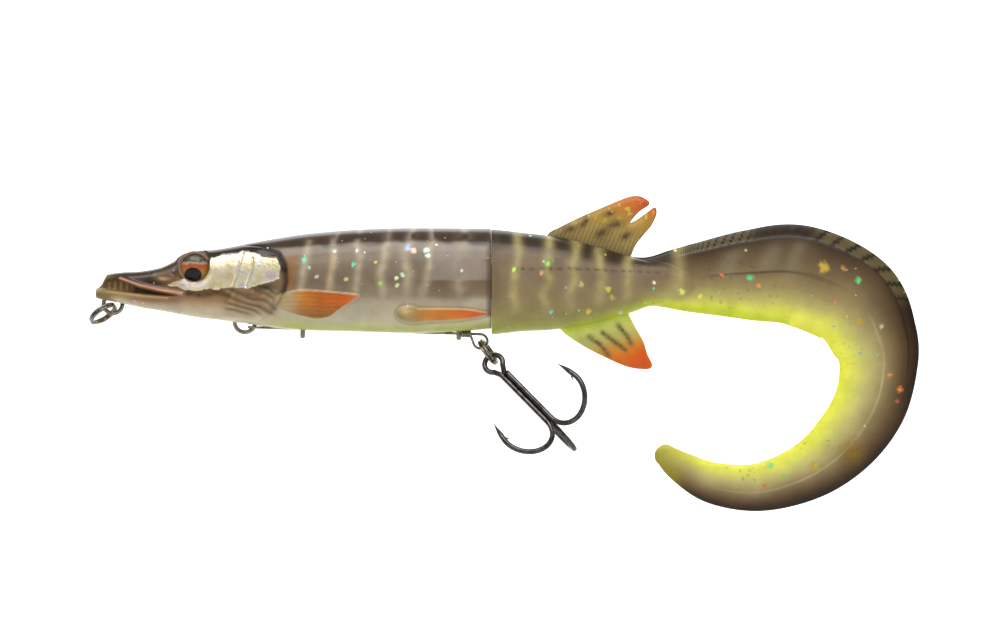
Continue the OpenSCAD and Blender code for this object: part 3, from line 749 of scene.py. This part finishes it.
# Pale bars of the soft tail: x, width
BARS_SOFT = [(83.2, 1.0), (89.6, 1.1), (95.2, 1.2), (100.6, 1.2), (106.2, 1.1), (116.6, 1.3)]
# Glints in the soft tail: x, z, size, colour
SOFT_GLINTS = [(83.0, 7.0, 0.7, "c8f070"), (89.9, 8.2, 0.7, "b0e060"), (91.0, 9.0, 0.5, "58c040"),
               (88.6, 6.4, 0.6, "f0b890"), (96.8, 4.0, 0.8, "b8b070"), (98.3, -1.5, 0.8, "e0c850"),
               (90.6, -1.6, 0.6, "80d8b8"), (102.3, 3.0, 0.9, "c8c850"), (103.2, 1.4, 0.8, "b8b050"),
               (105.0, -1.9, 0.7, "c0c8a0"), (111.8, 4.4, 0.6, "f0f0d8"), (117.6, 2.6, 1.0, "d8e070"),
               (121.5, 1.6, 0.7, "e0e060"), (125.9, 6.0, 0.5, "e87848"), (131.8, 5.4, 0.8, "58d898"),
               (133.6, 3.6, 0.6, "e8a050"), (147.0, 7.6, 1.6, "c8a840"), (151.2, 7.4, 0.8, "c89838"),
               (154.2, 4.9, 0.9, "60e080"), (149.4, 0.4, 0.5, "e87878"), (154.6, -3.6, 0.9, "b89838"),
               (158.8, -4.6, 0.7, "c8b8a0"), (160.6, -14.6, 0.8, "d89050"), (162.8, -17.6, 1.0, "d07030"),
               (162.2, -20.0, 0.7, "c86040"), (145.2, -33.6, 1.5, "b8a040"), (136.0, -33.4, 1.0, "78d890"),
               (138.6, -35.8, 0.9, "98b850"), (134.8, -37.6, 0.6, "d06840"), (119.4, -31.0, 0.9, "c8d070")]
SOFT_CONTRAST, SOFT_TINT = 1.08, (1.25, 1.18, 0.9)


def hatch_phase(places, t):
    """Phase of the slanting hatches on the curl's outer band."""
    return places * 9.5 - 4.5 * t


def curl_seam(places):
    """Where the curl's middle seam lies across it."""
    return 0.02 + 0.02 * (places - 10)


def seam_layers(places, t):
    """The curl's middle seam and its hatched outer band."""
    seam = bump(t, curl_seam(places), 0.022) * step(9.8, 10.4, places)
    band_edge = bump(t, 0.74, 0.022) * span(places, 10.0, 10.8, 14.5, 15.5)
    hatched = span(places, 8.2, 8.8, 10.8, 11.3) + span(places, 11.9, 12.3, 13.2, 13.7)
    band = step(0.72, 0.78, t) * hatched
    lines = step(0.55, 0.85, np.sin(hatch_phase(places, t) * np.where(places < 11.6, 4.2, 3.0)))
    return [("3d3530", 0.7 * seam * step(13.0, 12.2, places)),
            ("c2c0a0", 0.55 * seam * span(places, 13.2, 14.2, 18.5, 20.5)),
            ("1e1814", 0.8 * band_edge),
            ("8b8060", 0.45 * band * (1 - lines)),
            ("17120f", 0.8 * band * lines)]


def soft_paint(places, t, x, z):
    """Colour of the soft tail: places along it, t across it from -1 at the inner edge to 1."""
    high = (t + 1) / 2 + 0.06 * (fuzz(x, z, 5.0, 101) - 0.5)
    trunk = ramp(high, [(0.0, "a9b64a"), (0.06, "a3a862"), (0.16, "999268"), (0.34, "8f8068"),
                        (0.5, "897b6c"), (0.66, "85776c"), (0.78, "7a6a5a"), (0.86, "43362a"),
                        (1.0, "2c2218")])
    curl = ramp(high, [(0.0, "dde458"), (0.10, "dce268"), (0.22, "d2d67c"), (0.36, "c0bd88"),
                       (0.52, "a59a7a"), (0.68, "82725a"), (0.82, "5f4c36"), (0.92, "41301c"),
                       (1.0, "291c10")])
    top_run = ramp(high, [(0.0, "dde458"), (0.12, "dadf70"), (0.24, "bcb97c"), (0.38, "9c8f6c"),
                          (0.52, "85765e"), (0.7, "6c5c4a"), (0.84, "514133"), (0.93, "382b1e"),
                          (1.0, "261c12")])
    paint = lay(trunk, top_run, step(108, 118, x) * (places < 13) + (places >= 13))
    paint = lay(paint, curl, step(12.0, 15.0, places))
    bars = pale_bars(x, z, BARS_SOFT, 0.08, 5, 1.4, 3.0, 121) * (places < 11.5) * step(0.12, 0.3, high)
    layers = [("c4d440", 0.8 * step(0.22, 0.02, high) * step(98, 112, x) * (places < 12)),
              ("b0a780", 0.85 * bars * (0.5 + 0.6 * fuzz(x, z, 1.3, 123)))]
    for centre, width in ((127.5, 2.6), (135.5, 2.2), (140.5, 1.6)):
        light = bump(x, centre + 0.35 * (z - 8), width) * span(high, 0.42, 0.56, 0.75, 0.9)
        layers.append(("8f887c", 0.45 * light * (places < 14)))
    dash = 0.55 + 0.45 * np.sin(x * 3.4 + 3 * fuzz(x, z, 2.0, 131))
    lateral = bump(z, 7.2 - 0.045 * np.maximum(x - 96, 0), 0.22) * span(x, 81, 84, 112, 116)
    layers.append(("4a3c34", 0.75 * lateral * dash * (places < 11)))
    layers += seam_layers(places, t)
    # Painted shade at the tail's front edge, by the groove where it meets the shells
    front = step(80.8, 79.2, x) * (places < 3)
    layers.append(("5f5348", 0.3 * front * step(0.1, 0.4, high)))
    for cx, cz, size in ((152.8, -30.6, 2.4), (115.9, -36.0, 1.8)):
        layers.append(("8a6c10", 0.7 * bump(np.hypot(x - cx, z - cz), 0, size)))
    specks = step(0.86, 0.92, fuzz(x, z, 0.5, 141)) * step(0.5, 0.8, fuzz(x, z, 6.0, 143))
    layers.append(("2e261f", 0.35 * specks))
    layers.append(("b0ae4a", 0.75 * step(20.2, 22.0, places)))
    paint = lay_all(paint, layers)
    return glints(paint ** SOFT_CONTRAST * SOFT_TINT, x, z, SOFT_GLINTS, 151)


def soft_thickness(places, rows, angle):
    """Half thickness of the soft tail at places along it and angles round its section."""
    t, along = np.sin(angle)[None], places[:, None]
    half, plate = rows[:, 2:3], rows[:, 3:4]
    core, core_half = np.maximum(rows[:, 4:5], 0.05), np.maximum(rows[:, 5:6], 0.5)
    flat = np.maximum(plate * (1 - np.abs(t) ** 2.6) ** 0.5, 0.18 * np.abs(np.cos(angle))[None] ** 0.5)
    offset = (t * half + (rows[:, 1:2] - rows[:, 6:7])) / core_half
    offset = np.where(rows[:, :1] < 108, t, offset)
    round_part = core * np.clip(1 - np.abs(offset) ** 2.25, 0, 1) ** (1 / 2.25)
    round_part = np.where(along > 10.6, 0, round_part)
    thick = (flat ** 5 + round_part ** 5) ** 0.2
    ridge = step(0.72, 0.78, t) * span(along, 8.2, 8.8, 13.2, 13.7)
    thick = thick - 0.22 * ridge * thick + 0.03 * ridge * np.sin(hatch_phase(along, t) * 4.2)
    return thick + 0.10 * bump(t, curl_seam(along), 0.03) * (along > 10.6)


def tip_rings(row, ahead, out, t, y):
    """Rings that close the curl's tip in a quarter turn, from its last row of points."""
    rings = []
    for k in range(1, 13):
        lean = math.radians(k * 7.5)
        forward = row[2] * math.sin(lean) * 0.95
        across = row[2] * t * math.cos(lean)
        thick = y * math.cos(lean) ** 0.5 if k < 12 else np.zeros_like(y)
        rings.append(np.stack([row[0] + ahead[0] * forward + out[0] * across, thick,
                               row[1] + ahead[1] * forward + out[1] * across], axis=-1))
    return rings


def make_soft(name, first, last, bodies, pivot, reach, nodes, look, cap=None):
    """A stretch of the soft tail between two places of SOFT."""
    places = np.linspace(first, last, max(int((last - first) * 26), 24))
    rows, way, normal = soft_frame(places)
    angle = np.linspace(0, 2 * np.pi, 144, endpoint=False)
    t = np.sin(angle)
    x = rows[:, :1] + normal[:, :1] * rows[:, 2:3] * t
    z = rows[:, 1:2] + normal[:, 1:] * rows[:, 2:3] * t
    y = soft_thickness(places, rows, angle) * np.where(np.cos(angle) >= 0, 1.0, -1.0)
    y[:, np.abs(np.cos(angle)) < 1e-6] = 0.0
    paint = soft_paint(np.broadcast_to(places[:, None], x.shape), np.broadcast_to(t, x.shape), x, z)
    grid = np.stack([x, y, z], axis=-1)
    if cap == "front":
        steps = ((0.08, 0.05), (0.08, 0.6), (0.08, 0.95), (0.03, 0.985))
        rings = [shrunk(grid[0], grid[0, :, 0] - back, scale, 4.55) for back, scale in steps]
        grid = np.concatenate([rings, grid])
        paint = np.concatenate([paint[:1]] * len(rings) + [paint])
    if cap == "tip":
        rings = tip_rings(rows[-1], way[-1], normal[-1], t, y[-1])
        grid = np.concatenate([grid, rings])
        paint = np.concatenate([paint] + [paint[-1:]] * len(rings))
    faces = grid_faces(len(grid), len(angle), closed=True)
    obj = new_object(name, grid.reshape(-1, 3), faces, MATERIALS[look])
    store(obj, "paint", paint.reshape(-1, 3))
    pivot_row, pivot_way, _ = soft_frame(np.array([float(pivot)]))
    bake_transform(obj)
    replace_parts(obj, *nodes)


def place_of(x):
    """Place along SOFT of an x value in its straight part."""
    fine = np.linspace(0, 12, 1201)
    return float(np.interp(x, smooth_rows(SOFT, fine)[:, 0], fine))


SEAMS = [0.0, place_of(99.0), place_of(120.0), 12.5, 15.5, float(len(SOFT) - 1)]
# Name, two bodies, pivot place, reach, CAD nodes it replaces, look, cap
STRETCHES = [
    ("tail_trunk", ("tail_front", "tail_mid"), place_of(FLEX_1), 3.5, ["tail_front"], "soft_body", "front"),
    ("tail_waist", ("tail_mid", "tail_root"), place_of(FLEX_2), 3.5, ["tail_mid"], "soft_body", None),
    ("curl_start", ("tail_root", "curl_top"), CURL_TOP, 4.0, ["tail_root", "curl_top"], "soft_curl", None),
    ("curl_bend", ("curl_top", "curl_side"), CURL_SIDE, 4.0, ["curl_side"], "soft_curl", None),
    ("curl_end", ("curl_side", "curl_tip"), CURL_TIP, 4.0, ["curl_tip"], "soft_curl", "tip")]
for i, (stretch, *rest) in enumerate(STRETCHES):
    make_soft(stretch, SEAMS[i], SEAMS[i + 1], *rest)


# ---------------------------------------------------------------- fins

def make_fin(name, outline, node, painter, thickness):
    """A flat fin with a ribbed surface, from its outline in the side view."""
    edge = rounded(outline, 4)
    pts = np.array(edge)
    low, high = pts.min(axis=0), pts.max(axis=0)
    gx, gz = np.meshgrid(np.arange(low[0], high[0], 0.22), np.arange(low[1], high[1], 0.22))
    gx, gz = gx.ravel(), gz.ravel()
    keep = depth_in(gx, gz, edge) > 0.16
    inner = np.stack([gx[keep], gz[keep]], axis=-1)
    every = [Vector(p) for p in np.vstack([pts, inner])]
    ring = [(i, (i + 1) % len(pts)) for i in range(len(pts))]
    flat, _, faces, *_ = delaunay_2d_cdt(every, ring, [], 1, 1e-5)
    flat = np.array([tuple(p) for p in flat])
    depth = np.maximum(depth_in(flat[:, 0], flat[:, 1], edge), 0)
    paint, ribs = painter(flat[:, 0], flat[:, 1])
    half = thickness * (0.25 + 0.75 * step(0, 1.2, depth)) + 0.06 * ribs * step(0.1, 0.6, depth)
    half[depth < 1e-4] = thickness * 0.2
    count = len(flat)
    verts = np.vstack([np.stack([flat[:, 0], s * half, flat[:, 1]], axis=-1) for s in (-1, 1)])
    tris = [tuple(f) for f in faces] + [tuple(i + count for i in reversed(f)) for f in faces]
    loops = {}
    for f in faces:
        for a, b in zip(f, list(f[1:]) + [f[0]]):
            loops[(a, b)] = loops.get((a, b), 0) + 1
    rim = [(a, b) for a, b in loops if (b, a) not in loops]
    tris += [(b, a, a + count, b + count) for a, b in rim]
    obj = new_object(name, verts, tris, MATERIALS["soft_fin"])
    store(obj, "paint", np.vstack([paint, paint]))
    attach(obj, "tail_mid")
    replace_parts(obj, node)


def dorsal_paint(x, z):
    """Olive-yellow fin with thin dark rays, brown patches and an orange-red tip."""
    up = (z - (14.2 - 0.24 * (x - 90))) / 9.0
    paint = ramp(np.clip(up, 0, 1), [(0.0, "9a8452"), (0.4, "b79e58"), (0.75, "bf9a48"), (1.0, "c08a3c")])
    along = x - 0.42 * (z - 12)
    rays = step(0.6, 0.95, np.sin(along * 7.2 + 1.5 * fuzz(x, z, 3.0, 203)))
    layers = [("4c3c20", 0.7 * rays * step(0.85, 0.35, up))]
    for cx, cz, wide, tall in ((94.5, 15.6, 1.4, 0.8), (97.6, 17.0, 0.8, 1.6), (101.2, 14.6, 1.5, 1.2),
                               (104.0, 16.6, 1.6, 1.0), (106.2, 14.0, 1.2, 0.9), (102.6, 18.7, 1.1, 0.7)):
        near = np.exp(-(((x - cx - 0.5 * (z - cz)) / wide) ** 2 + ((z - cz) / tall) ** 2))
        layers.append(("5a4436", near * (0.6 + 0.6 * fuzz(x, z, 0.8, 201))))
    red = step(103.5, 107.5, x + 0.6 * (z - 19.5)) * step(17.8, 19.4, z)
    gold = step(0.78, 0.9, fuzz(x, z, 0.7, 205)) * step(16.0, 18.0, z)
    edge = depth_in(x, z, rounded(DORSAL, 4))
    paint = lay_all(paint, layers + [
        ("d27a34", 0.95 * red),
        ("d2561e", 0.8 * red * step(107.0, 110.5, x)),
        ("d08a3a", 0.7 * step(110.8, 112.3, x) * step(19.6, 17.0, z)),
        ("d8d050", 0.7 * gold),
        ("4a3824", 0.7 * step(0.3, 0.05, edge))])
    return paint, np.sin(along * 7.2)


def anal_paint(x, z):
    """Chartreuse root, khaki middle, orange-red tip and three dark smudges."""
    down = np.clip((-z - 1.6 - 0.27 * (106.5 - x)) / 9.5, 0, 1)
    paint = ramp(down, [(0.0, "dcec58"), (0.22, "dde27c"), (0.5, "cfbf70"), (0.7, "d29a44"),
                        (0.88, "dc8024"), (1.0, "dc7020")])
    paint = lay(paint, "c4c878", 0.6 * step(102, 97, x) * step(0.2, 0.4, down))
    paint = lay(paint, "dd5c1c", 0.9 * step(6.5, 1.5, np.hypot(x - 111.2, z + 13.2)))
    for smudge in ([(98.6, -6.8), (101.0, -8.6), (102.6, -10.6)],
                   [(101.4, -6.0), (104.0, -8.0), (106.0, -9.4)],
                   [(104.6, -4.4), (106.4, -6.8), (107.2, -8.2)]):
        near = near_line(x, z, smudge, 0.55)
        paint = lay(paint, "645c2c", 0.9 * near * (0.5 + 0.7 * fuzz(x, z, 0.4, 207)))
    along = x + 0.75 * z
    return paint, np.sin(along * 4.0) * 0.6


make_fin("dorsal_fin_soft", DORSAL, "dorsal_fin", dorsal_paint, FIN_HALF)
make_fin("anal_fin_soft", ANAL, "anal_fin", anal_paint, FIN_HALF)


# ---------------------------------------------------------------- rigging

def arc(centre, radius, start, end, count):
    """Points on a circle in the XZ plane, angles in degrees from +X towards +Z."""
    turn = np.radians(np.linspace(start, end, count))
    x, z = centre[0] + radius * np.cos(turn), centre[1] + radius * np.sin(turn)
    return np.stack([x, np.zeros(count), z], axis=-1)


def moved(points, matrix):
    """Points after a 4x4 transform."""
    m = np.array(matrix)
    return np.asarray(points) @ m[:3, :3].T + m[:3, 3]


RING_WIRE_R = 0.3


def make_split_ring(name, radius, matrix, body, node):
    """A ring of two flat turns of wire, a step where they cross, its two ends showing."""
    turn = np.linspace(math.radians(20), math.radians(20 + 716), 190)
    lift = 0.29 * np.tanh((turn - turn.mean()) * 1.6)
    mean = radius - RING_WIRE_R - 0.03
    points = np.stack([mean * np.cos(turn), mean * np.sin(turn), lift], axis=-1)
    ring = tube(name, moved(points, matrix), RING_WIRE_R, MATERIALS["ring"], sides=14)
    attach(ring, body)
    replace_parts(ring, node)


def turned(axis, degrees):
    """A turn about an axis of the frame."""
    return Matrix.Rotation(math.radians(degrees), 4, axis)


NOSE_RING_R, HOOK_RING_R = 3.2, 3.15
RING_CENTRE = (77.67, 0.0, -9.94)
RING_ANGLE = -53.9
nose_matrix = (Matrix.Translation((0.3, 0, -0.35)) @ turned("Y", -215) @ turned("X", 18)
               @ Matrix.Translation((NOSE_RING_R - 0.325, 0, 0)))
ring_matrix = Matrix.Translation(RING_CENTRE) @ turned("Y", -RING_ANGLE) @ turned("X", 8)
make_split_ring("nose_split_ring", NOSE_RING_R, nose_matrix, "nose_ring", "nose_ring")
make_split_ring("hook_split_ring", HOOK_RING_R, ring_matrix, "hook_ring", "hook_ring")


STINGER_WIRE_R = 0.27


def make_stinger():
    """The stinger wire: front eye, straight run, haywire wraps and rear loop."""
    start, end = np.array([29.33, 0.0, -4.85]), np.array([76.1, 0.0, -7.75])
    length = end[0] - start[0]
    loop, front_eye = 1.48, 1.25
    drop = math.degrees(math.atan2(start[2] - end[2] - loop, length))
    matrix = Matrix.Translation(start) @ turned("Y", drop)
    turn = np.radians(np.linspace(0, 350, 60))
    eye = np.stack([front_eye * np.cos(turn), front_eye * np.sin(turn), np.zeros(60)], axis=-1)
    run = np.stack([np.linspace(1.2, length, 40), np.zeros(40), np.zeros(40)], axis=-1)
    back = arc((length, -loop), loop, 90, -160, 60)
    wraps_start, wraps_end, wraps_r = length - 2.0, length - 4.2, 0.5
    up = np.linspace(0, 1, 6)[1:-1, None]
    rise = back[-1] * (1 - up) + np.array([wraps_start, 0.0, -0.43]) * up
    wind = np.linspace(-math.pi / 2, -math.pi / 2 - 2 * math.pi * 4.2, 120)
    wraps = np.stack([np.linspace(wraps_start, wraps_end, 120), wraps_r * np.cos(wind),
                      wraps_r * np.sin(wind)], axis=-1)
    lines = {"stinger_eye": eye, "stinger_run": np.vstack([run, back[1:], rise, wraps])}
    wire = join([tube(part, moved(line, matrix), STINGER_WIRE_R, MATERIALS["wire"])
                 for part, line in lines.items()], "stinger_rig")
    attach(wire, "stinger")
    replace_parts(wire, "stinger_wire")


make_stinger()

# Treble: radius of a rod, its distance from the axis, radius of a bend, shank from its top, point
HOOK_R, ROD_OUT, BEND_R = 0.56, 0.66, 5.3
SHANK_TOP, SHANK_L = 3.3, 14.8
POINT_L, POINT_LEAN = 5.4, 8
DOUBLE_AT, THIRD_AT = (90, 210), -30  # angles of the hooks about the shank
TREBLE_EYE = (79.0, 0.0, -12.6)
TREBLE_TILT = -28
ring_axis = Vector((math.cos(math.radians(RING_ANGLE + 90)), 0, math.sin(math.radians(RING_ANGLE + 90))))
treble_matrix = (Matrix.Translation(RING_CENTRE)
                 @ Matrix.Rotation(math.radians(TREBLE_TILT), 4, ring_axis)
                 @ Matrix.Translation(Vector(TREBLE_EYE) - Vector(RING_CENTRE)) @ turned("Y", -43.9))


def hook_path(top):
    """Middle line and radii of one hook, from the shank's top at x = ROD_OUT to the point."""
    foot = -SHANK_TOP - SHANK_L
    shank = np.stack([np.full(20, ROD_OUT), np.zeros(20), np.linspace(top, foot, 20)], axis=-1)
    bend = arc((ROD_OUT + BEND_R, foot), BEND_R, 180, 360 + POINT_LEAN, 50)[1:]
    lean = math.radians(POINT_LEAN)
    ahead = np.array([-math.sin(lean), 0, math.cos(lean)])
    far = np.linspace(0, 1, 24)[1:]
    curve = np.array([-0.35, 0, 0]) * (far ** 2)[:, None]
    point = bend[-1] + ahead * (POINT_L * far)[:, None] + curve
    path = np.vstack([shank, bend, point])
    taper = HOOK_R * np.clip(1 - step(0.15, 1.0, far) * 0.96, 0.03, 1)
    radii = np.concatenate([np.full(len(shank) + len(bend), HOOK_R), taper])
    return path, radii


def hook_barb(angle):
    """The cut barb on the inside of a point."""
    path, _ = hook_path(-SHANK_TOP)
    root = path[-21]
    base, tip = root + (-0.02, 0, 0), root + (-0.95, 0, -1.1)
    far = np.linspace(0, 1, 8)[:, None]
    line = base * (1 - far) + tip * far + np.array([-0.12, 0, 0]) * np.sin(far * math.pi)
    where = moved(line, treble_matrix @ turned("Z", angle))
    return tube("barb", where, np.linspace(0.30, 0.03, 8), MATERIALS["hook"], sides=10)


def make_treble():
    """The double hook bent from one wire round the eye, and the third hook brazed to it."""
    path, radii = hook_path(-SHANK_TOP)
    left, right = (moved(path, turned("Z", angle)) for angle in DOUBLE_AT)
    eye = arc((0, 0), 1.95, -52, 232, 60)
    up = step(0, 1, np.linspace(0, 1, 10))[1:-1, None]
    to_left = left[0] * (1 - up) + eye[0] * up
    to_right = right[0] * (1 - up) + eye[-1] * up
    whole = np.vstack([left[::-1], to_left, eye, to_right[::-1], right])
    plain = np.full(len(whole) - 2 * len(path), HOOK_R)
    sizes = np.concatenate([radii[::-1], plain, radii])
    bent = tube("double", moved(whole, treble_matrix), sizes, MATERIALS["hook"], sides=20)
    double = join([bent] + [hook_barb(angle) for angle in DOUBLE_AT], "treble_double_hook")
    third, third_radii = hook_path(-SHANK_TOP - 0.4)
    third = moved(third, treble_matrix @ turned("Z", THIRD_AT) @ Matrix.Translation((0.06, 0, 0)))
    rod = tube("single", third, third_radii, MATERIALS["hook"], sides=20)
    single = join([rod, hook_barb(THIRD_AT)], "treble_third_hook")
    for obj, node in ((double, "treble_double"), (single, "treble_single")):
        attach(obj, "treble")
        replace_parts(obj, node)


make_treble()

# CAD nodes that keep their own shape
KEPT = {"tow_eye": "wire", "belly_hanger": "wire", "front_peg": "peg", "rear_peg": "peg",
        "left_eye_iris": "iris", "right_eye_iris": "iris", "left_eye_lens": "iris", "right_eye_lens": "iris",
        "keel_weight": "ballast", "head_weight": "ballast", "left_foil": "foil", "right_foil": "foil",
        "rattle_tube": "rattle", "rattle_balls": "ball", "tail_plug": "plug"}
for node_name, look in KEPT.items():
    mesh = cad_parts[node_name].data
    mesh.materials.clear()
    mesh.materials.append(MATERIALS[look])


# ---------------------------------------------------------------- stage, light and camera

def make_stage():
    """A pale floor that curves up into a backdrop."""
    width, near, far, low, tall, bend = 2.4, -1.8, 1.5, -0.11, 2.2, 0.6
    line = [(near, low)]
    turn = np.linspace(0, math.pi / 2, 24)
    line += [(far - bend + bend * math.sin(a), low + bend - bend * math.cos(a)) for a in turn]
    line.append((far, tall))
    verts = [(side * width / MM, y / MM, z / MM) for y, z in line for side in (-1, 1)]
    faces = [(2 * i, 2 * i + 1, 2 * i + 3, 2 * i + 2) for i in range(len(line) - 1)]
    n = Nodes("stage")
    depth = n.add("SeparateXYZ", {"Vector": n.place()}).outputs[1]
    n.surface(Base_Color=(0.8, 0.8, 0.8), Roughness=0.9, Emission_Color=(1.0, 1.0, 1.0),
              Emission_Strength=n.between(depth, 0.15, 0.4, 0.0, 1.0))
    new_object("stage_floor", verts, faces, n.material)


def add_light(name, where, target, size, power, tint=(1.0, 1.0, 1.0)):
    """A soft rectangular light that points at a target; distances in metres."""
    lamp = bpy.data.lights.new(name, "AREA")
    lamp.shape = "RECTANGLE"
    lamp.size, lamp.size_y = size
    lamp.energy = power
    lamp.color = tint
    obj = bpy.data.objects.new(name, lamp)
    obj.location = where
    obj.rotation_euler = (Vector(target) - Vector(where)).to_track_quat("-Z", "Y").to_euler()
    bpy.context.scene.collection.objects.link(obj)


def make_world():
    """Soft white surroundings."""
    world = bpy.data.worlds.new("studio")
    world.use_nodes = True
    background = world.node_tree.nodes["Background"]
    background.inputs["Color"].default_value = (1.0, 1.0, 1.0, 1.0)
    background.inputs["Strength"].default_value = 0.3
    bpy.context.scene.world = world


VIEW_CENTRE = Vector((80.1, 0, -2.8)) * MM
VIEW_WIDTH = 0.207
LENS, SENSOR = 135, 36
make_stage()
make_world()
add_light("key", (0.02, -0.35, 0.62), VIEW_CENTRE, (0.7, 0.35), 3.2)
add_light("front", (0.15, -0.6, 0.45), VIEW_CENTRE, (0.8, 0.25), 1.0)
add_light("rim", (0.2, 0.4, 0.45), VIEW_CENTRE, (0.6, 0.3), 0.4)
camera = bpy.data.objects.new("camera", bpy.data.cameras.new("camera"))
camera.data.lens = LENS
camera.data.sensor_width = SENSOR
camera.location = VIEW_CENTRE - Vector((0, VIEW_WIDTH * LENS / SENSOR, 0))
camera.rotation_euler = (math.pi / 2, 0, 0)
camera.data.clip_start = 0.01
bpy.context.scene.collection.objects.link(camera)
bpy.context.scene.camera = camera
bpy.context.scene.view_settings.view_transform = "Standard"
